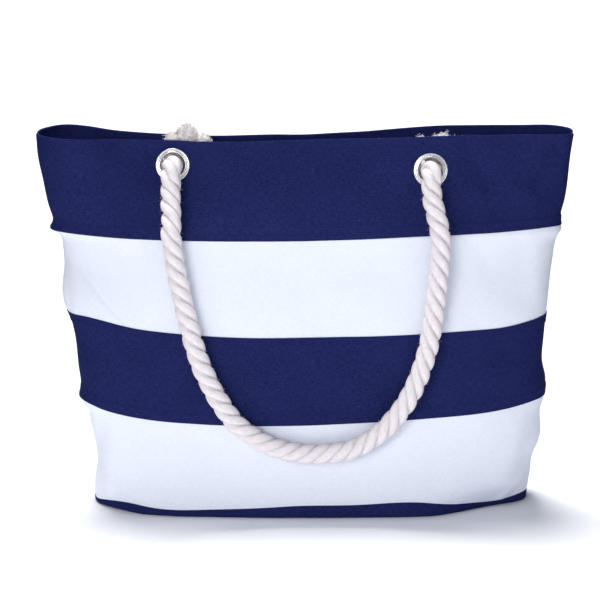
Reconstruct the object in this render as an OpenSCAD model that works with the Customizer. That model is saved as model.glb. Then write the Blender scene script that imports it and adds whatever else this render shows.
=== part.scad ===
// Striped canvas beach bag with two rope handles.
// X runs across the bag, -Y is the front, Z is up. The origin is the middle of the base,
// on the surface that the bag stands on. All sizes are in millimetres.

/* [Bag body] */
// Width across the rim, from side seam to side seam
rim_w = 506; // [480:1:530]
// Width of the base, from side seam to side seam
base_w = 412; // [390:1:430]
// Depth of the base, from front to back
base_d = 146; // [130:1:160]
// Height of the rim at the middle of the front
rim_h = 352; // [340:1:365]
// How much higher the rim is at the side seams
rim_lift = 5; // [0:0.5:8]

/* [Stripes] */
// Height of the seam between the base panel and the lower stripe
base_seam_h = 10; // [8:0.5:16]
// Height of the seam between the lower stripe and the middle band
lower_seam_h = 90.5; // [80:0.5:100]
// Height of the seam between the middle band and the upper stripe
middle_seam_h = 174; // [165:0.5:185]
// Height of the seam between the upper stripe and the top band
upper_seam_h = 264; // [255:0.5:270]

/* [Mouth] */
// Half depth of the mouth where its two sides are nearest
mouth_half = 17; // [17:0.5:20]
// How much wider than that the left end stands open
left_lobe = 41; // [30:1:45]
// How much wider than that the right part stands open
right_lobe = 19; // [15:1:22]

/* [Cloth] */
// Thickness of the outer canvas
canvas_t = 1.4; // [1.2:0.1:1.5]
// Thickness of the facing inside the rim
facing_t = 1; // [0.8:0.1:1]
// Thickness of the lining
lining_t = 0.6; // [0.4:0.1:0.8]
// Thickness of the board in the base
board_t = 2; // [1.5:0.5:2.5]
// Width of the pocket on the back lining
pocket_w = 180; // [140:5:200]

/* [Eyelets] */
// Radius of the hole through an eyelet
bore_r = 11.2; // [11:0.1:11.6]
// Outer radius of an eyelet's flange
flange_r = 16; // [15:0.5:17]
// Distance of the left eyelets from the middle
left_eyelet_x = 124; // [120:1:128]
// Distance of the right eyelets from the middle
right_eyelet_x = 117; // [113:1:121]
// Height of the left eyelets
left_eyelet_h = 328; // [325:0.5:330]
// Height of the right eyelets
right_eyelet_h = 326; // [323:0.5:328]

/* [Rope] */
// Diameter of the rope
rope_d = 19.5; // [18:0.5:20]
// Radius of a knot
knot_r = 18; // [17:0.5:18.5]

/* [Hidden] */

navy = [0.09, 0.11, 0.3];
white = [0.95, 0.95, 0.96];
cream = [0.93, 0.9, 0.84];
nickel = [0.75, 0.75, 0.74];

rope_r = rope_d / 2;
// Heights of the seams, as shares of the rim's height
v_base = base_seam_h / rim_h;
v_lower = lower_seam_h / rim_h;
v_middle = middle_seam_h / rim_h;
v_upper = upper_seam_h / rim_h;
// Cells of a cloth layer across the body, up a stripe, and up the more curved top band
across = 40;
up = 3;
top_up = 6;
// Where the cloth layers lie, counted inwards from the outside of the canvas
facing_in = canvas_t + 0.2;
lining_in = canvas_t + 0.2;
pocket_in = lining_in + lining_t + 0.2;
base_t = 1.4;
// The hole that an eyelet's barrel needs in the cloth
barrel_r = bore_r + 1;
cloth_hole_r = barrel_r + 0.2;
// Centre of the line that a handle swings about, in front of each eyelet
left_hinge = [-124, -36, 327];
right_hinge = [117, -51, 325];

FRONT = -1;
BACK = 1;

// Half width at a height share v, from side seam to the middle
function half_w(v) = (base_w + (rim_w - base_w) * v) / 2;

// How square a level is: 2 is an ellipse, and a high number is nearly a rectangle
function squareness(v) = lookup(v, [[0, 2.6], [0.25, 3], [0.5, 2.9], [0.75, 2.3], [1, 4]]);

// Half depth of the mouth at x: open at the left end, pinched, and open again at the right
function mouth_depth(x) =
    mouth_half + left_lobe * exp(-pow((x + 222) / 45, 2)) + right_lobe / (1 + exp(-(x - 75) / 16));

// Half depth at x and v before the level's rounding: the body bulges, and draws in to the mouth
function full_depth(x, v) =
    let (
        body = base_d / 2 * lookup(v, [[0, 1], [0.3, 1], [0.5, 0.96], [0.75, 0.767]]),
        pull = v > v_upper ? sin(90 * (v - v_upper) / (1 - v_upper)) : 0
    )
    body * (1 - pull) + mouth_depth(x) * pull;

// Half depth of the outer surface at x and v
function face_depth(x, v) =
    let (n = squareness(v))
    full_depth(x, v) * pow(1 - pow(abs(x) / half_w(v), n), 1 / n);

// The levels curve up towards the side seams
function seam_rise(v) =
    lookup(v, [[0, 0], [0.1, 7], [0.25, 11], [0.5, 10], [0.75, 2], [1, rim_lift]]);

function level_z(x, v) = rim_h * v + seam_rise(v) * pow(min(1, abs(x) / half_w(v)), 3);

// A point of the body: side is FRONT or BACK, s runs from -1 at the left seam to 1 at the
// right seam, v is the height share, and inset counts inwards from the outer surface.
function body_point(side, s, v, inset) =
    let (
        n = squareness(v),
        x = (half_w(v) - inset) * sin(90 * s),
        y = side * (full_depth(x, v) - inset) * pow(1 - pow(abs(sin(90 * s)), n), 1 / n)
    )
    [x, abs(s) == 1 ? 0 : y, level_z(x, v)];

// The height shares of a stretch of cloth between two seams, with cells between them
function levels(v0, v1, cells = up) = [for (j = [0:cells]) v0 + (v1 - v0) * j / cells];

base_levels = levels(0, v_base);
lower_levels = levels(v_base, v_lower);
middle_levels = levels(v_lower, v_middle);
upper_levels = levels(v_middle, v_upper);
top_levels = levels(v_upper, 1, top_up);
facing_levels = [for (j = [2:top_up]) top_levels[j]];
// The lining has the levels of every piece that it lies behind
lining_levels = concat(
    [base_levels[2]], lower_levels,
    [for (j = [1:up]) middle_levels[j]], [for (j = [1:up]) upper_levels[j]],
    [top_levels[1], top_levels[2] - 0.001]
);

// Two triangles for each cell of a grid of points. first is the number of the grid's first
// point, and along and over are the steps from a point to its neighbours each way.
function grid_faces(first, along, cells_along, over, cells_over) = [
    for (i = [0:cells_along - 1], j = [0:cells_over - 1])
        let (p = first + i * along + j * over)
        each [[p, p + over, p + along], [p + along, p + over, p + along + over]]
];

// Faces turned the other way round
function turned(faces) = [for (f = faces) [f[0], f[2], f[1]]];

// A cloth layer on one side of the body, with the height shares of its rows. Its outer and
// inner surfaces are two grids of points, and its four edges join them.
module cloth(side, rows, inset, t, s0 = -1, s1 = 1) {
    surfaces = [
        for (depth = [inset, inset + t], i = [0:across], v = rows)
            body_point(side, s0 + (s1 - s0) * i / across, v, depth)
    ];
    row = len(rows);
    over = row - 1;
    inner = (across + 1) * row;
    faces = concat(
        grid_faces(0, row, across, 1, over),
        turned(grid_faces(inner, row, across, 1, over)),
        turned(grid_faces(0, row, across, inner, 1)),
        grid_faces(over, row, across, inner, 1),
        grid_faces(0, 1, over, inner, 1),
        turned(grid_faces(across * row, 1, over, inner, 1))
    );
    polyhedron(points = surfaces, faces = side == BACK ? turned(faces) : faces);
}

// The points right round the body at a level, from the left seam along the front
function level_ring(v, inset) =
    concat(
        [for (i = [0:across - 1]) body_point(FRONT, 2 * i / across - 1, v, inset)],
        [for (i = [0:across - 1]) body_point(BACK, 1 - 2 * i / across, v, inset)]
    );

function level_outline(v, inset) = [for (p = level_ring(v, inset)) [p.x, p.y]];

// The two triangles between points i and q of one row and the same points a row further on
function cell_faces(first, i, q, row) =
    let (a = first + i, b = first + q)
    [[a, a + row, b], [b, a + row, b + row]];

// A cloth layer that runs right round the body, with the height shares of its rows
module cloth_ring(rows, inset, t) {
    surfaces = [for (depth = [inset, inset + t], v = rows) each level_ring(v, depth)];
    round = 2 * across;
    over = len(rows) - 1;
    inner = round * len(rows);
    faces = [
        for (i = [0:round - 1])
            let (q = (i + 1) % round)
            each concat(
                [for (j = [0:over - 1]) each cell_faces(j * round, i, q, round)],
                [for (j = [0:over - 1]) each turned(cell_faces(inner + j * round, i, q, round))],
                turned(cell_faces(0, i, q, inner)),
                cell_faces(over * round, i, q, inner)
            )
    ];
    polyhedron(points = surfaces, faces = faces);
}

// Place and lean of an eyelet: hand is -1 for the left ones and 1 for the right ones
function eyelet_x(hand) = hand < 0 ? -left_eyelet_x : right_eyelet_x;
function eyelet_v(hand) = (hand < 0 ? left_eyelet_h : right_eyelet_h) / rim_h;
function eyelet_lean(hand) =
    let (x = eyelet_x(hand), v = eyelet_v(hand), step = 0.02)
    atan((face_depth(x, v - step) - face_depth(x, v + step)) / (2 * step * rim_h));

function eyelet_turn(hand) =
    let (x = eyelet_x(hand), v = eyelet_v(hand), step = 8)
    atan((face_depth(x + step, v) - face_depth(x - step, v)) / (2 * step));

// Moves children to an eyelet, with their +Z pointing out of the bag
module at_eyelet(side, hand) {
    translate([eyelet_x(hand), side * face_depth(eyelet_x(hand), eyelet_v(hand)), rim_h * eyelet_v(hand)])
        rotate([side * (-90 + eyelet_lean(hand)), 0, side * eyelet_turn(hand)])
            children();
}

// The top band of one side, with the holes for its two eyelets
module top_band(side) {
    color(navy)
        difference() {
            cloth(side, top_levels, 0, canvas_t);
            for (hand = [-1, 1])
                at_eyelet(side, hand)
                    cylinder(r = cloth_hole_r, h = 16, center = true, $fn = 48);
        }
}

// The strip of canvas inside the rim
module facing(side) {
    color(navy)
        difference() {
            cloth(side, facing_levels, facing_in, facing_t);
            for (hand = [-1, 1])
                at_eyelet(side, hand)
                    cylinder(r = cloth_hole_r, h = 16, center = true, $fn = 48);
        }
}

module upper_stripe(side) {
    color(white) cloth(side, upper_levels, 0, canvas_t);
}

module middle_band(side) {
    color(navy) cloth(side, middle_levels, 0, canvas_t);
}

module lower_stripe(side) {
    color(white) cloth(side, lower_levels, 0, canvas_t);
}

// The lining of one side, from the board up to the facing
module lining(side) {
    color(cream) cloth(side, lining_levels, lining_in, lining_t);
}

// The base panel lies flat and turns up to the lowest seam
module base_panel() {
    color(navy) {
        linear_extrude(height = base_t)
            polygon(level_outline(0, canvas_t / 2));
        cloth_ring(base_levels, 0, canvas_t);
    }
}

// The board that keeps the base flat, between the base panel and the lining
module base_board() {
    color([0.6, 0.5, 0.38])
        translate([0, 0, base_t + 0.2])
            linear_extrude(height = board_t)
                polygon(level_outline(0, 4));
}

module base_lining() {
    color(cream)
        translate([0, 0, base_t + 0.4 + board_t])
            linear_extrude(height = lining_t)
                polygon(level_outline(0, 4));
}

// A patch pocket on the back lining, open at its top. It has the levels of the lining.
module inner_pocket() {
    rows = concat(
        [for (j = [1:up]) middle_levels[j]],
        [for (j = [1:up - 1]) upper_levels[j]]
    );
    reach = asin(pocket_w / 2 / half_w(v_middle)) / 90;
    color(cream) cloth(BACK, rows, pocket_in, lining_t, -reach, reach);
}

// An eyelet: a rolled flange on the outside and a barrel through the cloth
module eyelet(side, hand) {
    color(nickel)
        at_eyelet(side, hand)
            rotate_extrude($fn = 96)
                polygon([
                    [bore_r, -4.6], [barrel_r + 1, -4.6], [barrel_r + 1, -4.1], [barrel_r, -3.9],
                    [barrel_r, 0.3], [flange_r, 0.3], [flange_r, 0.8], [flange_r - 0.7, 1.6],
                    [flange_r - 2, 2.3], [flange_r - 3.2, 2.3], [bore_r + 0.5, 1.8], [bore_r, 1]
                ]);
}

// The washer that an eyelet's barrel is rolled over on the inside
module washer(side, hand) {
    color(nickel)
        at_eyelet(side, hand)
            translate([0, 0, -3.8])
                difference() {
                    cylinder(r = flange_r + 0.5, h = 0.8, $fn = 96);
                    translate([0, 0, -1]) cylinder(r = barrel_r + 0.1, h = 3, $fn = 96);
                }
}

// A point between p1 and p2 on the smooth curve through four points
function spline(p0, p1, p2, p3, t) =
    0.5 * (2 * p1 + (p2 - p0) * t + (2 * p0 - 5 * p1 + 4 * p2 - p3) * t * t
        + (3 * p1 - p0 - 3 * p2 + p3) * t * t * t);

// The smooth curve through a route's points, with steps points to each stretch
function smooth(route, steps) =
    let (last = len(route) - 1)
    concat(
        [
            for (i = [0:last - 1], k = [0:steps - 1])
                spline(
                    route[max(i - 1, 0)], route[i], route[i + 1], route[min(i + 2, last)], k / steps
                )
        ],
        [route[last]]
    );

function unit(v) = v / norm(v);

// The ring of a tube around point p, square to the direction along
function tube_ring(p, along, side_way, r, sides) =
    let (a = unit(cross(along, side_way)), b = unit(cross(a, along)))
    [for (j = [0:sides - 1]) p + r * (a * cos(360 * j / sides) + b * sin(360 * j / sides))];

// Faces of a tube: the sides between one ring and the next, and the two ends
function tube_faces(rings, sides) =
    concat(
        [
            for (i = [0:rings - 2], j = [0:sides - 1])
                let (p = i * sides + j, q = i * sides + (j + 1) % sides)
                each [[p, q, p + sides], [q, q + sides, p + sides]]
        ],
        [[for (j = [sides - 1:-1:0]) j]],
        [[for (j = [0:sides - 1]) (rings - 1) * sides + j]]
    );

// A tube through the points of a line. side_way is a direction that the line never takes.
// A round end is a half sphere beyond the line's end, and reaches past it by r.
module tube(line, r, side_way, sides, round_start = false, round_end = false) {
    last = len(line) - 1;
    starting = unit(line[1] - line[0]);
    ending = unit(line[last] - line[last - 1]);
    cap = [75, 50, 25];
    rings = concat(
        round_start
            ? [for (g = cap) tube_ring(line[0] - starting * r * sin(g), starting, side_way, r * cos(g), sides)]
            : [],
        [
            for (i = [0:last])
                tube_ring(line[i], unit(line[min(i + 1, last)] - line[max(i - 1, 0)]), side_way, r, sides)
        ],
        round_end
            ? [
                for (k = [len(cap) - 1:-1:0])
                    tube_ring(line[last] + ending * r * sin(cap[k]), ending, side_way, r * cos(cap[k]), sides)
            ]
            : []
    );
    polyhedron(
        points = [for (ring = rings) each ring],
        faces = tube_faces(len(rings), sides)
    );
}

// Route of the front handle's rope, from the left eyelet to the right one. It hangs from
// the eyelets and lies against the front.
handle_route = [
    left_hinge, [-125, -39, 312], [-125, -46, 299], [-124, -55, 285], [-124, -63, 270],
    [-121, -67, 248], [-117, -71, 226], [-106, -79, 181], [-96, -82, 149], [-80, -84, 117],
    [-61, -85, 92], [-35, -85, 75], [-12, -85, 68], [11, -85, 66], [45, -85, 71], [73, -85, 89],
    [95, -84, 117], [109, -82, 149], [117, -79, 181], [123, -72, 226], [125, -68, 248],
    [125, -65, 270], [121, -61, 288], [118, -57, 301], [117, -53, 313], right_hinge
];

// Routes of the rope through the cloth, from the outside of an eyelet to its knot
left_end_route = [[-124, -24.5, 328.5], [-124, -18, 327.5], [-122.5, -13, 326.5], [-120, -9.5, 325.5]];
right_end_route = [[117, -40.5, 326.5], [117, -34, 325.5], [118, -28, 324], [121, -23, 322]];
back_left_end_route = [[-124, 24.5, 328.5], [-124, 18, 327.5], [-125.5, 13, 326.5], [-128, 9.5, 325.5]];
back_right_end_route = [[117, 40.5, 326.5], [117, 34, 325.5], [115, 28, 324], [111, 23, 322]];

// Centres of the knots
front_left_knot_at = [-101, 0, 321];
front_right_knot_at = [130, -14, 318];
back_left_knot_at = [-147, 0, 321];
back_right_knot_at = [104, 14, 318];

module rope_end(route) {
    color(cream) tube(smooth(route, 3), rope_r, [0, 0, 1], 12);
}

module knot(centre) {
    color(cream) translate(centre) sphere(r = knot_r, $fn = 48);
}

// The frayed end that stands out of a knot: a brush that opens towards its top
module tassel(centre, lean, long, top_r) {
    color(cream)
        translate(centre)
            rotate([0, lean, 0])
                translate([0, 0, knot_r - 2])
                    cylinder(r1 = rope_r - 1, r2 = top_r, h = long, $fn = 48);
}

module handle_rope() {
    color(cream) tube(smooth(handle_route, 3), rope_r, [0, 1, 0], 12, true, true);
}

top_band(FRONT);  // front_top_band
top_band(BACK);  // back_top_band
upper_stripe(FRONT);  // front_upper_stripe
upper_stripe(BACK);  // back_upper_stripe
middle_band(FRONT);  // front_middle_band
middle_band(BACK);  // back_middle_band
lower_stripe(FRONT);  // front_lower_stripe
lower_stripe(BACK);  // back_lower_stripe
base_panel();
base_board();
facing(FRONT);  // front_facing
facing(BACK);  // back_facing
lining(FRONT);  // front_lining
lining(BACK);  // back_lining
base_lining();
inner_pocket();
eyelet(FRONT, -1);  // front_left_eyelet
eyelet(FRONT, 1);  // front_right_eyelet
eyelet(BACK, -1);  // back_left_eyelet
eyelet(BACK, 1);  // back_right_eyelet
washer(FRONT, -1);  // front_left_washer
washer(FRONT, 1);  // front_right_washer
washer(BACK, -1);  // back_left_washer
washer(BACK, 1);  // back_right_washer
rope_end(left_end_route);  // front_left_rope_end
rope_end(right_end_route);  // front_right_rope_end
rope_end(back_left_end_route);  // back_left_rope_end
rope_end(back_right_end_route);  // back_right_rope_end
knot(front_left_knot_at);  // front_left_knot
knot(front_right_knot_at);  // front_right_knot
knot(back_left_knot_at);  // back_left_knot
knot(back_right_knot_at);  // back_right_knot
tassel(front_left_knot_at, -8, 28, 14);  // front_left_tassel
tassel(front_right_knot_at, 8, 20, 14);  // front_right_tassel
tassel(back_left_knot_at, -150, 28, 14);  // back_left_tassel
tassel(back_right_knot_at, 165, 28, 14);  // back_right_tassel
handle_rope();  // front_rope
mirror([0, 1, 0]) handle_rope();  // back_rope
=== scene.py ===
"""The looks of a striped canvas beach bag with two rope handles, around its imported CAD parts.

Lengths are in metres. X runs across the bag, -Y is its front and Z is up.
"""

import logging
import math
from dataclasses import dataclass, field
from enum import Enum
from functools import cache
from typing import Callable

import bmesh
import bpy
import numpy as np
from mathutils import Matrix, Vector


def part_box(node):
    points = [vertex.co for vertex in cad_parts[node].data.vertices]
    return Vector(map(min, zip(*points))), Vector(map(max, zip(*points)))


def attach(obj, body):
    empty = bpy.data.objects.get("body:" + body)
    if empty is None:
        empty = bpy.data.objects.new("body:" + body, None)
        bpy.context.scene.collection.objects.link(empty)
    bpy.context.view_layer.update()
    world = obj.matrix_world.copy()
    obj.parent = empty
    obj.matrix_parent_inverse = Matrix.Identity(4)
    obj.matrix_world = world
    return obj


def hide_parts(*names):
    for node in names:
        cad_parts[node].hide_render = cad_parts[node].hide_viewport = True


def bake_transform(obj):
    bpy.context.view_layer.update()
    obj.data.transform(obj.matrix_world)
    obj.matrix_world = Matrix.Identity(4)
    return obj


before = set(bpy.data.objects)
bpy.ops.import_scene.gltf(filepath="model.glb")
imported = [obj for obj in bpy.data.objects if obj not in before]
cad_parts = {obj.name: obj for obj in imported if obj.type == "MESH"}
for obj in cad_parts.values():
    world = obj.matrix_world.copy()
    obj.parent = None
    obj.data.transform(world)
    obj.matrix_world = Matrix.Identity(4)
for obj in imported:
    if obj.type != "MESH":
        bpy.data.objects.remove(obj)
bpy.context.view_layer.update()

Array = np.ndarray
MM = 0.001
log = logging.getLogger("beach_bag")


@cache
def box_of(node: str) -> tuple[Vector, Vector]:
    """The lowest and the highest corner of a CAD node, measured once."""
    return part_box(node)


class Side(Enum):
    """The front or the back of the bag; the value is the sign of Y there."""

    FRONT = -1
    BACK = 1

    @property
    def word(self) -> str:
        """The side's name as it stands in the names of pieces."""
        return self.name.lower()


class Hand(Enum):
    """The left or the right end of the bag, seen from the front; the value is the sign of X."""

    LEFT = -1
    RIGHT = 1

    @property
    def word(self) -> str:
        """The hand's name as it stands in the names of pieces."""
        return self.name.lower()


class Edge(Enum):
    """How a cloth panel ends at a seam."""

    HEM = "turned under and stitched down over its neighbour"
    TUCK = "laid under its neighbour's hem"
    ROLL = "rolled over at the rim of the bag"
    CUT = "cut straight"


# ---------------------------------------------------------------------------------------------
# Curves and grids
# ---------------------------------------------------------------------------------------------


def smoothstep(t: Array) -> Array:
    """Runs from 0 at t = 0 to 1 at t = 1, level at both: t * t * (3 - 2 t)."""
    t = np.clip(t, 0, 1)
    return t * t * (3 - 2 * t)


def curve_through(x: Array, table: list[tuple[float, float]]) -> Array:
    """The smooth curve through a table's points.

    Between two points it is the cubic that has, at each, the slope of the points around it.

    Args:
        x: where the curve is read; beyond the table it stays at its end values.
        table: points (x, value) in rising x.

    Returns:
        The curve's values, one for each x.
    """
    knots, values = np.array(table, float).T
    slopes = np.gradient(values, knots)
    x = np.clip(x, knots[0], knots[-1])
    i = np.clip(np.searchsorted(knots, x, side="right") - 1, 0, len(knots) - 2)
    width = knots[i + 1] - knots[i]
    t = (x - knots[i]) / width
    start = values[i] * (1 + 2 * t) * (1 - t) ** 2 + slopes[i] * width * t * (1 - t) ** 2
    end = values[i + 1] * t * t * (3 - 2 * t) - slopes[i + 1] * width * t * t * (1 - t)
    return start + end


def ripples(x: Array, z: Array, length: float, count: int, seed: int) -> Array:
    """Smooth noise of about unit size.

    It is a sum of waves sin(2 pi (x cos a + z sin a) / w + p), each with its own direction a,
    wavelength w and phase p.

    Args:
        x: places across the cloth.
        z: places up the cloth.
        length: middle wavelength.
        count: number of waves.
        seed: which noise it is.

    Returns:
        The noise at each place.
    """
    rng = np.random.default_rng(seed)
    angle = rng.uniform(0, math.tau, count)
    wave = length * rng.uniform(0.6, 1.7, count)
    phase = rng.uniform(0, math.tau, count)
    along = x[..., None] * np.cos(angle) + z[..., None] * np.sin(angle)
    return np.sin(math.tau * along / wave + phase).sum(-1) * math.sqrt(2 / count)


def unit(v: Array) -> Array:
    """Each vector of an array, scaled to length 1."""
    return v / np.maximum(np.linalg.norm(v, axis=-1, keepdims=True), 1e-12)


def arc_length(path: Array) -> Array:
    """Distance along a path at each of its points."""
    steps = np.linalg.norm(np.diff(path, axis=0), axis=1)
    return np.concatenate([[0.0], np.cumsum(steps)])


def smooth_path(route: list[list[float]], spacing: float) -> Array:
    """The smooth curve through a route's points, as points at even distances.

    Each stretch between two points is the cubic of Catmull and Rom for them and their neighbours.

    Args:
        route: points that the curve passes through.
        spacing: distance between the points that come back.

    Returns:
        Points (n, 3) along the curve.
    """
    p = np.array(route, float)
    padded = np.concatenate([p[:1], p, p[-1:]])
    t = np.linspace(0, 1, 24, endpoint=False)[None, :, None]
    a, b, c, d = (padded[k:len(padded) - 3 + k, None] for k in range(4))
    fine = 0.5 * (
        2 * b + (c - a) * t + (2 * a - 5 * b + 4 * c - d) * t**2 + (3 * b - a - 3 * c + d) * t**3
    )
    fine = np.concatenate([fine.reshape(-1, 3), p[-1:]])
    along = arc_length(fine)
    even = np.linspace(0, along[-1], max(2, round(along[-1] / spacing) + 1))
    return np.stack([np.interp(even, along, fine[:, k]) for k in range(3)], -1)


def cells(rows: int, columns: int, wrap_rows: bool, wrap_columns: bool) -> Array:
    """Corner numbers (cells, 4) of the cells of a grid whose points are numbered row by row."""
    i = np.arange(rows if wrap_rows else rows - 1)
    j = np.arange(columns if wrap_columns else columns - 1)
    i, j = np.meshgrid(i, j, indexing="ij")
    up, right = (i + 1) % rows, (j + 1) % columns
    corners = [i * columns + j, i * columns + right, up * columns + right, up * columns + j]
    return np.stack(corners, -1).reshape(-1, 4)


@dataclass
class Surface:
    """A stretch of mesh, with a place on the cloth, in metres, for each corner of each cell."""

    points: Array
    faces: Array
    places: Array
    caps: list[list[int]] = field(default_factory=list)

    @classmethod
    def grid(
        cls,
        points: Array,
        places: Array,
        wrap_rows: bool = False,
        wrap_columns: bool = False,
        turned: bool = False,
        keep: Array | None = None,
    ) -> "Surface":
        """A surface from a grid of points.

        A cell's corners run along its row and then up, so it faces along row x column.

        Args:
            points: grid (rows, columns, 3).
            places: grid of places on the cloth, one row or column longer where the grid wraps.
            wrap_rows: whether the last row joins the first one.
            wrap_columns: whether the last column joins the first one.
            turned: whether the cells face the other way.
            keep: for each cell, whether it is made.

        Returns:
            The surface.
        """
        rows, columns = points.shape[:2]
        faces = cells(rows, columns, wrap_rows, wrap_columns)
        corner = cells(places.shape[0], places.shape[1], False, False)
        on_cloth = places.reshape(-1, 2)[corner]
        if keep is not None:
            faces, on_cloth = faces[keep.ravel()], on_cloth[keep.ravel()]
        if turned:
            faces, on_cloth = faces[:, ::-1], on_cloth[:, ::-1]
        return cls(points.reshape(-1, 3), faces, on_cloth)

    @classmethod
    def tubes(cls, rings: Array, along: Array, girth: float, closed_ends: bool = True) -> "Surface":
        """Tubes through rings of points, with flat ends.

        Args:
            rings: points (tubes, rings, sides, 3), each ring running round to the left of its
                tube's direction.
            along: distance along the tube at each ring.
            girth: length round a ring, for the places on the cloth.
            closed_ends: whether each tube gets a face across both ends.

        Returns:
            The surface of all the tubes.
        """
        tubes, count, sides = rings.shape[:3]
        one = cells(count, sides, False, True)
        shift = np.arange(tubes) * count * sides
        faces = (shift[:, None, None] + one).reshape(-1, 4)
        u, v = np.meshgrid(np.linspace(0, girth, sides + 1), along)
        places = np.stack([u, v], -1).reshape(-1, 2)[cells(count, sides + 1, False, False)]
        caps = []
        if closed_ends:
            last = (count - 1) * sides
            caps = [list(range(s + sides - 1, s - 1, -1)) for s in shift.tolist()]
            caps += [list(range(s + last, s + last + sides)) for s in shift.tolist()]
        return cls(rings.reshape(-1, 3), faces, np.tile(places, (tubes, 1, 1)), caps)


def add_piece(
    name: str, parts: list[Surface], finish: bpy.types.Material, sharp: float = 180.0
) -> bpy.types.Object:
    """Makes one object from stretches of mesh.

    Args:
        name: the piece's name.
        parts: its surfaces, in the row frame.
        finish: its material.
        sharp: edges that turn by more than this many degrees stay sharp.

    Returns:
        The object, at the origin, with its cloth places as the UV map.
    """
    shift = np.cumsum([0] + [len(p.points) for p in parts])
    faces = [(p.faces + s).tolist() for p, s in zip(parts, shift)]
    caps = [[k + int(s) for k in cap] for p, s in zip(parts, shift) for cap in p.caps]
    mesh = bpy.data.meshes.new(name)
    mesh.from_pydata(
        np.concatenate([p.points for p in parts]).tolist(), [], sum(faces, []) + caps
    )
    places = np.concatenate([p.places.reshape(-1, 2) for p in parts])
    on_caps = np.zeros((sum(len(c) for c in caps), 2))
    layer = mesh.uv_layers.new(name="cloth")
    layer.data.foreach_set("uv", np.concatenate([places, on_caps]).astype(np.float32).ravel())
    mesh.polygons.foreach_set("use_smooth", np.ones(len(mesh.polygons), bool))
    if sharp < 180:
        mesh.set_sharp_from_angle(angle=math.radians(sharp))
    mesh.materials.append(finish)
    mesh.update()
    piece = bpy.data.objects.new(name, mesh)
    bpy.context.scene.collection.objects.link(piece)
    log.info("%s: %d points, %d faces", name, len(mesh.vertices), len(mesh.polygons))
    return piece


# ---------------------------------------------------------------------------------------------
# Shader groups and finishes
# ---------------------------------------------------------------------------------------------


class Nodes:
    """A short way to write a node tree: each method adds one node and gives back its output."""

    def __init__(self, tree: bpy.types.NodeTree) -> None:
        """Keeps the tree that the nodes go into."""
        self.tree = tree

    def add(self, kind: str, **settings: object) -> bpy.types.Node:
        """Adds a node of a kind and sets its properties."""
        node = self.tree.nodes.new(kind)
        for key, value in settings.items():
            setattr(node, key, value)
        return node

    def put(self, socket: bpy.types.NodeSocket, value: object) -> None:
        """Links an output to a socket, or sets a plain value on it."""
        if isinstance(value, bpy.types.NodeSocket):
            self.tree.links.new(value, socket)
        else:
            socket.default_value = value

    def math(self, operation: str, a: object, b: object = 0.0) -> bpy.types.NodeSocket:
        """The result of a Math node."""
        node = self.add("ShaderNodeMath", operation=operation)
        self.put(node.inputs[0], a)
        self.put(node.inputs[1], b)
        return node.outputs[0]

    def stretch(self, vector: object, scale: tuple[float, float, float]) -> bpy.types.NodeSocket:
        """A vector multiplied by a scale along each axis."""
        node = self.add("ShaderNodeVectorMath", operation="MULTIPLY")
        self.put(node.inputs[0], vector)
        node.inputs[1].default_value = scale
        return node.outputs[0]

    def noise(self, vector: object, scale: float, detail: float = 2.0) -> bpy.types.NodeSocket:
        """Noise from 0 to 1 at a vector."""
        node = self.add("ShaderNodeTexNoise")
        self.put(node.inputs["Vector"], vector)
        node.inputs["Scale"].default_value = scale
        node.inputs["Detail"].default_value = detail
        return node.outputs["Fac"]

    def spread(self, value: object, low: object, high: object) -> bpy.types.NodeSocket:
        """A value from 0 to 1 carried over to the range from low to high, without clamping."""
        return self.math("ADD", low, self.math("MULTIPLY", value, self.math("SUBTRACT", high, low)))

    def mix(self, share: object, a: object, b: object) -> bpy.types.NodeSocket:
        """A mix of two colours."""
        node = self.add("ShaderNodeMix", data_type="RGBA")
        self.put(node.inputs["Factor"], share)
        self.put(node.inputs["A"], a)
        self.put(node.inputs["B"], b)
        return node.outputs["Result"]


def new_group(name: str, inputs: dict[str, float | None], outputs: list[str]) -> Nodes:
    """Makes a shader node group with its sockets.

    Args:
        name: the group's name.
        inputs: each input's name, with its value, or None for a vector.
        outputs: names of the value outputs.

    Returns:
        A writer for the group's tree, with its input and output nodes named "in" and "out".
    """
    tree = bpy.data.node_groups.new(name, "ShaderNodeTree")
    for key, value in inputs.items():
        kind = "NodeSocketVector" if value is None else "NodeSocketFloat"
        socket = tree.interface.new_socket(name=key, in_out="INPUT", socket_type=kind)
        if value is not None:
            socket.default_value = value
    for key in outputs:
        tree.interface.new_socket(name=key, in_out="OUTPUT", socket_type="NodeSocketFloat")
    nodes = Nodes(tree)
    nodes.add("NodeGroupInput", name="in")
    nodes.add("NodeGroupOutput", name="out")
    return nodes


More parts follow.
